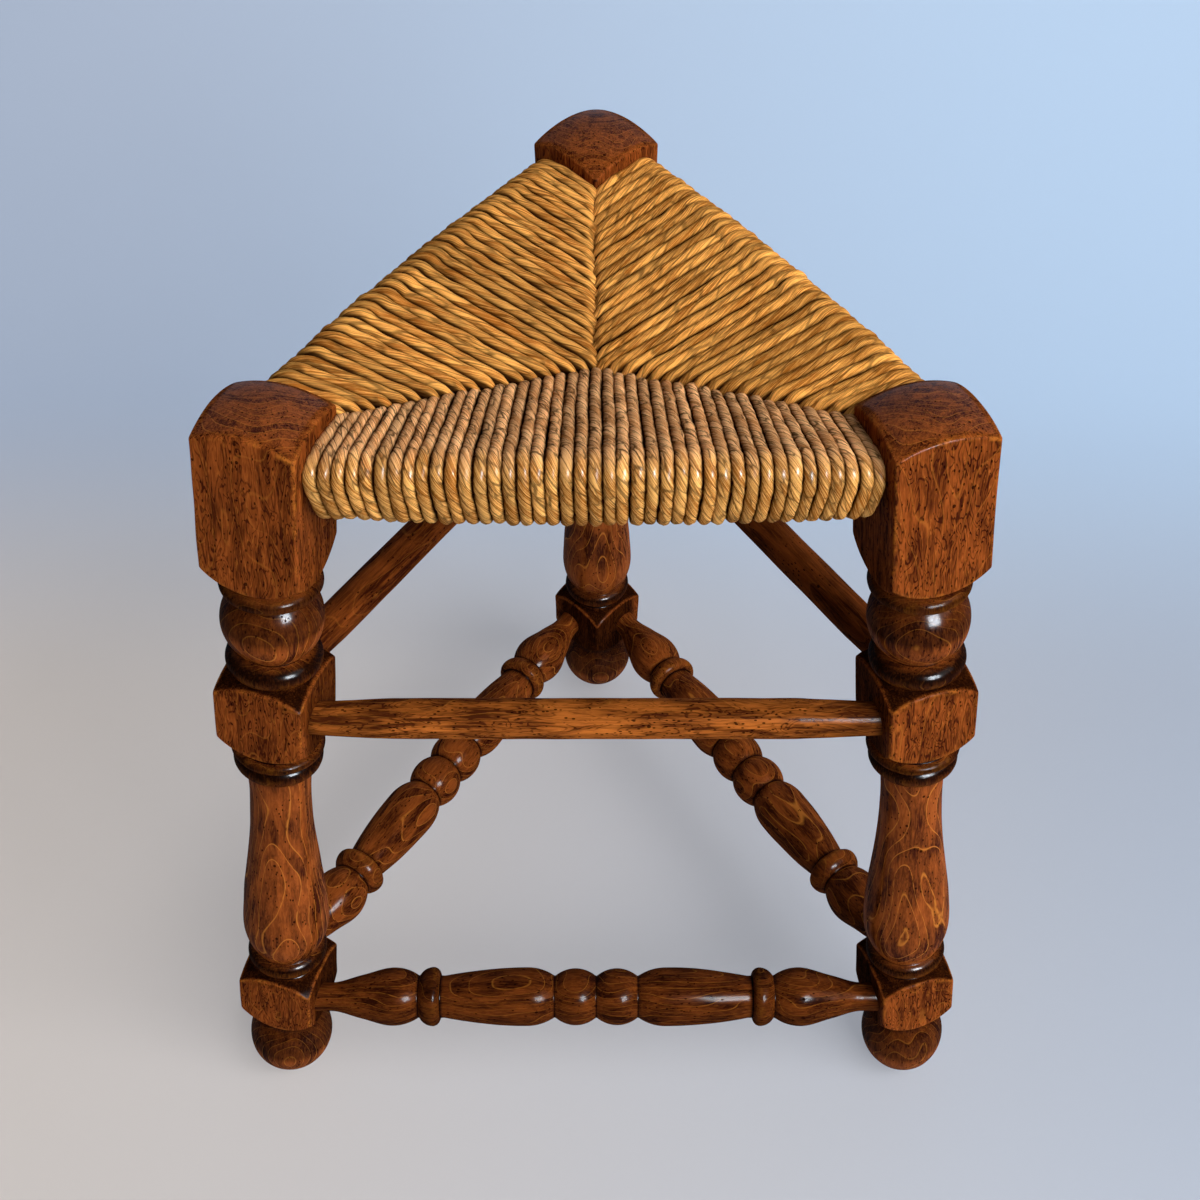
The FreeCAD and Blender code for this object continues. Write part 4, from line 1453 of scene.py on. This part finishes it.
@dataclass
class RushPanel:
    """One side of the seat: strands from the seams over the rail and back below, in millimetres."""

    stance: Stance
    side: Side
    finish: RushFinish
    strand_count: int = 41
    wrap_r: float = 13.2
    bulge: float = 3.2
    bulge_from_deg: float = 55.0
    over_reach: float = 3.2
    under_reach: float = 3.4
    over_tip: float = 0.5
    over_taper: float = 8.0
    over_dip: float = 2.4
    under_dip: float = 4.2
    leaf_depth: float = 0.14
    flatness: float = 0.08
    half_width: float = 116.3
    seam_x: float = 106.2
    seam_out: float = 61.3
    middle_top: float = -8.8
    corner_top: float = 11.4
    middle_bottom: float = -21.3
    corner_bottom: float = -14.0
    wrap_power: float = 3.8
    slant: float = 3.0
    sides: int = 16
    ring_step: float = 2.0
    unevenness: float = 0.16
    closeness: float = 1.04
    arc_points: int = 41
    flat_points: int = 25
    crease_point: int = 10
    crease_before: float = -9.0
    crease_after: float = 3.0
    sway_length: float = 36.0
    sway_depth: float = 0.25
    lump_length: float = 17.0
    lump_depth: float = 0.2
    lump_girth: float = 0.035
    seam_girth: float = 0.90
    dip_share: float = 0.8
    under_dip_l: float = 9.0
    under_tip: float = 0.62
    front_jitter: float = 0.15
    seam_jitter: float = 0.2
    reach_jitter: float = 0.7
    girth_jitter: float = 0.03
    fold_jitter: float = 1.6
    lift_jitter: float = 0.12
    rng: np.random.Generator = field(init=False)

    def __post_init__(self) -> None:
        """Reads the rail's place and starts the panel's own random numbers."""
        self.rail_out, self.rail_z = self.stance.rail_place()
        self.strand_r = self.closeness * self.half_width / self.strand_count
        self.rng = np.random.default_rng(700 + self.side.value)

    @property
    def name(self) -> str:
        """The panel's node name."""
        return "rush_" + self.side.name.lower()

    def section(self, share: float, seam_out: float, reach: float) -> tuple[np.ndarray, np.ndarray]:
        """One strand's path across the rail, seen from its end, from the top seam to the bottom seam.

        Args:
            share: Where the strand lies, from -1 at the left end to 1 at the right.
            seam_out: How far from the middle its seam ends lie.
            reach: How far it goes past the seam.

        Returns:
            Points (out, up from the rail) and the direction that faces out of the seat there.
        """
        angles = np.linspace(math.pi / 2, -math.pi / 2, self.arc_points)
        bend = np.abs(np.cos(angles)) ** self.wrap_power + np.abs(np.sin(angles)) ** self.wrap_power
        swollen = smooth_step(90.0, self.bulge_from_deg, np.degrees(angles))
        swollen *= self.bulge * (1.0 - share * share)
        arc_r = self.wrap_r * bend ** (-1.0 / self.wrap_power) + swollen
        arc = np.stack([self.rail_out + arc_r * np.cos(angles), arc_r * np.sin(angles)], axis=-1)
        flats = []
        for middle, corner, crest in ((self.middle_top, self.corner_top, arc[0]),
                                      (self.middle_bottom, self.corner_bottom, arc[-1])):
            start = np.array([seam_out - reach, middle + (corner - middle) * abs(share)])
            steps = np.linspace(0.0, 1.0, self.flat_points + 1)[:-1, None]
            flats.append(start + (crest - start) * steps)
        line = np.concatenate([flats[0], arc, flats[1][::-1]])
        along = np.gradient(line, axis=0)
        facing = np.stack([-along[:, 1], along[:, 0]], axis=-1)
        facing /= np.linalg.norm(facing, axis=1, keepdims=True)
        return line, facing

    def waver(self, gone: np.ndarray, lane: float, wavelength: float, seed: int) -> np.ndarray:
        """Smooth unevenness along one strand.

        Args:
            gone: How far along the strand each point lies.
            lane: Keeps the strands' patterns apart.
            wavelength: Usual distance between swells.
            seed: Picks the pattern.

        Returns:
            One value for each point.
        """
        place = np.stack([gone, np.full_like(gone, lane), np.zeros_like(gone)], axis=-1)
        return ripple(place, wavelength, seed)

    def strand(self, number: int) -> dict[str, np.ndarray]:
        """One strand's path with its girth, facing and fold.

        Args:
            number: Which strand, from the left seen from outside.

        Returns:
            Arrays by point: place, up, girth, fold and strand.
        """
        share = 2.0 * (number + 0.5) / self.strand_count - 1.0
        jitter = self.rng.normal(0.0, 1.0, 7)
        over = share > 0.0
        front_x = share * self.half_width + self.front_jitter * jitter[0]
        seam_x = share * self.seam_x + self.seam_jitter * jitter[1]
        seam_out = abs(share) * self.seam_out
        reach = self.over_reach if over else self.under_reach
        line, facing = self.section(share, seam_out, reach + self.reach_jitter * jitter[2])
        front_out = self.rail_out + self.wrap_r
        run = (line[:, 0] - seam_out) / (front_out - seam_out)
        gone = np.concatenate([[0.0], np.cumsum(np.linalg.norm(np.diff(line, axis=0), axis=1))])
        lump = self.waver(gone, 57.0 * number, self.lump_length, 6)
        x = seam_x + (front_x - seam_x) * run
        x += self.sway_depth * self.waver(gone, 31.0 * number, self.sway_length, 5)
        x -= self.slant * share * smooth_step(0.6 * self.wrap_r, -self.wrap_r, line[:, 1])
        ends = np.minimum(gone, gone[-1] - gone)
        dip, dip_l = self.under_dip, self.under_dip_l
        tip, point = self.under_tip, smooth_step(-3.0, 6.0, ends)
        if over:
            dip, dip_l = self.over_dip, self.dip_share * self.over_taper
            tip, point = self.over_tip, smooth_step(0.0, self.over_taper, ends)
        lift = self.lump_depth * lump + self.lift_jitter * jitter[5]
        line = line + facing * (lift - dip * (1.0 - smooth_step(0.0, dip_l, ends)))[:, None]
        girth = self.strand_r * (self.seam_girth + (1.0 - self.seam_girth) * np.clip(run, 0.0, 1.0))
        girth *= 1.0 + self.girth_jitter * jitter[3] + self.lump_girth * lump
        girth *= tip + (1.0 - tip) * point
        crease = gone[self.flat_points + self.crease_point] - self.fold_jitter * jitter[4]
        fold = smooth_step(self.crease_before, self.crease_after, gone - crease)
        place = np.stack([x, -line[:, 0], self.rail_z + line[:, 1]], axis=-1)
        up = np.stack([np.zeros_like(x), -facing[:, 0], facing[:, 1]], axis=-1)
        return {"place": place, "up": up, "girth": girth, "fold": fold,
                "strand": np.full_like(x, self.rng.uniform())}

    def paths(self) -> bpy.types.Mesh:
        """All strands' paths as one mesh of edges with their values as attributes."""
        strands = [self.strand(number) for number in range(self.strand_count)]
        joined = {key: np.concatenate([s[key] for s in strands]) for key in strands[0]}
        place = self.stance.side_to_frame(joined["place"], self.side.value) * MM
        edges, start = [], 0
        for strand in strands:
            count = len(strand["girth"])
            edges += [(start + i, start + i + 1) for i in range(count - 1)]
            start += count
        mesh = bpy.data.meshes.new(self.name + "_paths")
        mesh.from_pydata(place.tolist(), edges, [])
        paint(mesh, "up", turned_about_z(joined["up"], self.side.value * self.stance.step_deg))
        paint(mesh, "girth", joined["girth"] * MM)
        paint(mesh, "fold", joined["fold"])
        paint(mesh, "strand", joined["strand"])
        return mesh

    def build(self, tree: StrandTree) -> bpy.types.Object:
        """Builds and dresses the panel.

        Args:
            tree: Lays the strands along their paths.

        Returns:
            The panel.
        """
        material = self.finish.build()
        guide = bpy.data.objects.new(self.name + "_guide", self.paths())
        bpy.context.scene.collection.objects.link(guide)
        mesh = tree.apply(guide, {"Ring Step": self.ring_step * MM, "Sides": self.sides,
                                  "Leaves": self.finish.lay_count, "Leaf Depth": self.leaf_depth,
                                  "Twist Pitch": self.finish.lay_pitch, "Flatness": self.flatness,
                                  "Unevenness": self.unevenness, "Seed": float(self.side.value),
                                  "Rush": material})
        paths = guide.data
        bpy.data.objects.remove(guide)
        bpy.data.meshes.remove(paths)
        return piece_from_mesh(f"{self.name}_strands", mesh, material, "rush", self.name)


@dataclass(frozen=True)
class Stuffing:
    """Loose rush between the layers of one side, a dark lumpy pad, in millimetres."""

    stance: Stance
    side: Side
    half_length: float = 92.0
    inner_room: float = -3.0
    outer_room: float = 15.0
    middle_up: float = -15.0
    middle_half: float = 2.4
    rail_half: float = 8.5
    lump_length: float = 7.0
    lump_depths: Place = (0.15, 0.5, 0.5)
    fill: float = 0.5
    rows: int = 40
    columns: int = 28

    def build(self, material: bpy.types.Material) -> bpy.types.Object:
        """Builds and dresses the pad.

        Args:
            material: The loose rush.

        Returns:
            The pad.
        """
        rail_out, rail_z = self.stance.rail_place()
        x = np.linspace(-self.half_length, self.half_length, self.rows)[:, None]
        angles = np.linspace(0.0, 2.0 * math.pi, self.columns, endpoint=False)
        inner = np.abs(x) * math.tan(math.radians(30.0)) + self.inner_room
        outer = rail_out - self.outer_room
        narrow = smooth_step(1.0, 0.72, np.abs(x) / self.half_length)
        half_width = (outer - inner) / 2.0 * narrow
        out = (outer + inner) / 2.0 - half_width * np.cos(angles)
        near_rail = out / rail_out
        half_height = (self.middle_half + (self.rail_half - self.middle_half) * near_rail) * narrow
        up = self.middle_up * (1.0 - near_rail) + half_height * np.sin(angles)
        points = np.stack([x + 0.0 * out, -out, rail_z + up], axis=-1)
        lumps = narrow * ripple(points, self.lump_length, 90 + self.side.value)
        points = points + lumps[..., None] * np.array(self.lump_depths)
        name = "stuffing_" + self.side.name.lower()
        mesh = closed_tube(name, self.stance.side_to_frame(points, self.side.value))
        pad = piece_from_mesh(f"{name}_loose", mesh, material, "stuffing", name)
        return pad


@dataclass(frozen=True)
class Studio:
    """Floor, backdrop, lights and camera, in metres and degrees."""

    lens: float = 48.206
    sensor: float = 36.0
    pitch_deg: float = 46.431
    eye: Place = (0.001976, -0.642584, 0.824523)
    # Corner colours; from left to right they paint the room's uneven light.
    floor_left: Colour = (0.666, 0.603, 0.561)
    floor_right: Colour = (0.386, 0.441, 0.544)
    wall_left: Colour = (0.454, 0.536, 0.687)
    wall_right: Colour = (0.476, 0.634, 0.847)
    blend_half: float = 0.55
    blend_from: float = 0.1
    blend_to: float = 0.5
    glow_share: float = 0.5
    wall_y: float = 0.95
    sweep_r: float = 0.55
    reach: float = 4.0
    aim: Place = (0.0, 0.0, 0.25)

    def camera(self) -> None:
        """Makes the camera at the photograph's place."""
        data = bpy.data.cameras.new("camera")
        data.lens = self.lens
        data.sensor_width = self.sensor
        camera = bpy.data.objects.new("camera", data)
        camera.location = self.eye
        camera.rotation_euler = (math.radians(self.pitch_deg), 0.0, 0.0)
        bpy.context.scene.collection.objects.link(camera)
        bpy.context.scene.camera = camera

    def backdrop(self) -> None:
        """Makes the floor that sweeps up into the backdrop, with the room's uneven light painted into its
        colour.
        """
        arc = np.linspace(-math.pi / 2, 0.0, 25)
        start = self.wall_y - self.sweep_r
        sweep = [(start + self.sweep_r * math.cos(a), self.sweep_r * (1.0 + math.sin(a))) for a in arc]
        section = [(-self.reach, 0.0), *sweep, (self.wall_y, self.reach)]
        vertices = [(x, y, z) for y, z in section for x in (-self.reach, self.reach)]
        faces = [(2 * i, 2 * i + 1, 2 * i + 3, 2 * i + 2) for i in range(len(section) - 1)]
        mesh = bpy.data.meshes.new("backdrop")
        mesh.from_pydata(vertices, [], faces)
        mesh.shade_smooth()
        cloth = Surface("pale_backdrop")
        x, y, z = cloth.parts(cloth.give("ShaderNodeTexCoord", output="Object"))
        across = cloth.ramp(x, -self.blend_half, self.blend_half)
        up = cloth.ramp(y + z, self.blend_from, self.blend_to)
        # The floor and wall differ in colour; the change from left to right paints the room's uneven light,
        # lighter and warmer on the left of the floor and brighter on the right of the wall.
        colour = cloth.mix(up, cloth.mix(across, self.floor_left, self.floor_right),
                           cloth.mix(across, self.wall_left, self.wall_right))
        ray = cloth.add("ShaderNodeLightPath").outputs
        seen, glossy, through = (Value(cloth, ray[f"Is {kind} Ray"])
                                 for kind in ("Camera", "Glossy", "Transmission"))
        glow = cloth.scaled(colour, seen.most(glossy).most(through) * self.glow_share)
        mesh.materials.append(cloth.dress({
            "Base Color": cloth.scaled(colour, 1.0 - self.glow_share), "Emission Color": glow,
            "Emission Strength": 1.0, "Roughness": 0.7, "Specular IOR Level": 0.2}))
        backdrop = bpy.data.objects.new("backdrop", mesh)
        bpy.context.scene.collection.objects.link(backdrop)

    def lamp(self, name: str, place: Place, size: float, watts: float, colour: Colour,
             glint: bool | None = None) -> None:
        """Makes one soft square lamp that faces the stool.

        Args:
            name: Its name.
            place: Where it is.
            size: Its width.
            watts: Its power.
            colour: Its colour.
            glint: True for one seen only as a reflection, without shade, False for one never seen so.
        """
        data = bpy.data.lights.new(name, "AREA")
        data.size = size
        data.energy = watts
        data.color = colour
        lamp = bpy.data.objects.new(name, data)
        lamp.location = place
        away = lamp.location - type(lamp.location)(self.aim)
        lamp.rotation_euler = away.to_track_quat("Z", "Y").to_euler()
        data.use_shadow = glint is not True
        data.cycles.use_multiple_importance_sampling = glint is not True
        lamp.visible_diffuse = glint is not True
        lamp.visible_glossy = glint is not False
        bpy.context.scene.collection.objects.link(lamp)

    def light(self) -> None:
        """Makes the wide window, a front fill, the window's bright pane as a glint and the dim room."""
        self.lamp("window", (1.5, -0.9, 1.7), 1.3, 40.0, (1.0, 0.99, 0.97))
        self.lamp("front", (0.8, -1.8, 1.45), 0.9, 30.0, (1.0, 0.98, 0.95), glint=False)
        self.lamp("pane", (0.42, -0.70, 0.69), 0.30, 95.0, (0.84, 0.92, 1.0), glint=True)
        world = bpy.data.worlds.new("room")
        world.use_nodes = True
        bpy.context.scene.world = world
        back = world.node_tree.nodes["Background"]
        back.inputs["Color"].default_value = (0.90, 0.94, 1.0, 1.0)
        back.inputs["Strength"].default_value = 0.13

    def build(self) -> None:
        """Builds the whole studio."""
        self.camera()
        self.backdrop()
        self.light()
        bpy.context.scene.view_settings.view_transform = "Standard"


def rush_panels(stance: Stance) -> list[RushPanel]:
    """The seat's sides: weathered at the front, golden at the right, smooth and brown at the left.

    Args:
        stance: Where the legs stand.

    Returns:
        The three panels.
    """
    weathered = RushFinish("rush_weathered", (0.99, 0.540, 0.240), (0.50, 0.200, 0.064))
    golden = RushFinish.even("rush_golden", (0.96, 0.450, 0.102), (0.31, 0.098, 0.012), 0.55,
                             lay_pitch=64.0, leaf_length=20.0, fibre_count=9.0, flank_from=0.72,
                             flank_to=0.14)
    brown = RushFinish.even("rush_brown", (0.95, 0.455, 0.106), (0.42, 0.134, 0.019), 0.5,
                            lay_pitch=60.0, lay_count=2.0, leaf_length=26.0, flank_from=0.96,
                            flank_to=0.36)
    wide = {"wrap_r": 15.2, "bulge_from_deg": 70.0}
    return [RushPanel(stance, Side.FRONT, weathered, over_tip=0.72, under_dip=2.2, leaf_depth=0.19),
            RushPanel(stance, Side.RIGHT, golden, strand_count=35, flatness=0.12, leaf_depth=0.06, **wide),
            RushPanel(stance, Side.LEFT, brown, strand_count=36, flatness=0.06, over_reach=4.4,
                      over_tip=0.36, over_taper=10.0, over_dip=3.0, **wide)]


def main() -> None:
    """Builds the stool and its studio in order."""
    logging.basicConfig(level=logging.INFO, format="%(name)s: %(message)s")
    stance = Stance.from_record(frame["record"])
    studio = Studio()
    studio.build()
    groups = Groups()
    turner = Turner()
    leg_wood = WoodFinish("waxed_leg_wood").build(groups)
    stretcher_wood = WoodFinish("waxed_stretcher_wood", wax_round=0.035).build(groups)
    rung_wood = WoodFinish("streaked_rung_wood", deep=(0.070, 0.016, 0.0040), warm=(0.52, 0.150, 0.0240),
                           vein=(0.62, 0.22, 0.035), vein_strength=0.3, pore_share=0.7, streak_length=11.0,
                           figure_strength=1.3, wax_round=0.025).build(groups)
    pith_degs = {Corner.FRONT_LEFT: -120.0, Corner.FRONT_RIGHT: 120.0, Corner.BACK: 0.0}
    wear_shares = {Corner.FRONT_LEFT: 1.0, Corner.FRONT_RIGHT: 1.0, Corner.BACK: 0.35}
    # The side rungs get darker wood than the front rung: painted shade under the seat.
    side_rung_wood = WoodFinish("seat_shaded_rung_wood", vein_strength=0.2, streak_length=11.0,
                                wax_round=0.025).build(groups)
    rung_woods = {Side.FRONT: rung_wood, Side.RIGHT: side_rung_wood, Side.LEFT: side_rung_wood}
    # Painted shadow of the seat on the side rungs.
    rung_seat_shadows = {Side.FRONT: 0.0, Side.RIGHT: 0.5, Side.LEFT: 0.22}
    stretcher_darkenings = {Side.FRONT: 0.62, Side.RIGHT: 0.30, Side.LEFT: 0.28}
    for corner in Corner:
        Leg(stance, corner, pith_degs[corner], wear_share=wear_shares[corner]).build(turner, leg_wood)
    for side in Side:
        Rung(stance, "rung", side, darkening=rung_seat_shadows[side]).build(turner, rung_woods[side])
        Stretcher(stance, "stretcher", side, darkening=stretcher_darkenings[side]).build(turner, stretcher_wood)
        Rail(stance, "seat_rail", side, columns=32).build(turner, rung_wood)
    tree = StrandTree()
    loose = LooseFinish("loose_rush").build()
    for panel in rush_panels(stance):
        panel.build(tree)
        Stuffing(stance, panel.side).build(loose)


if __name__ == "__main__":
    main()
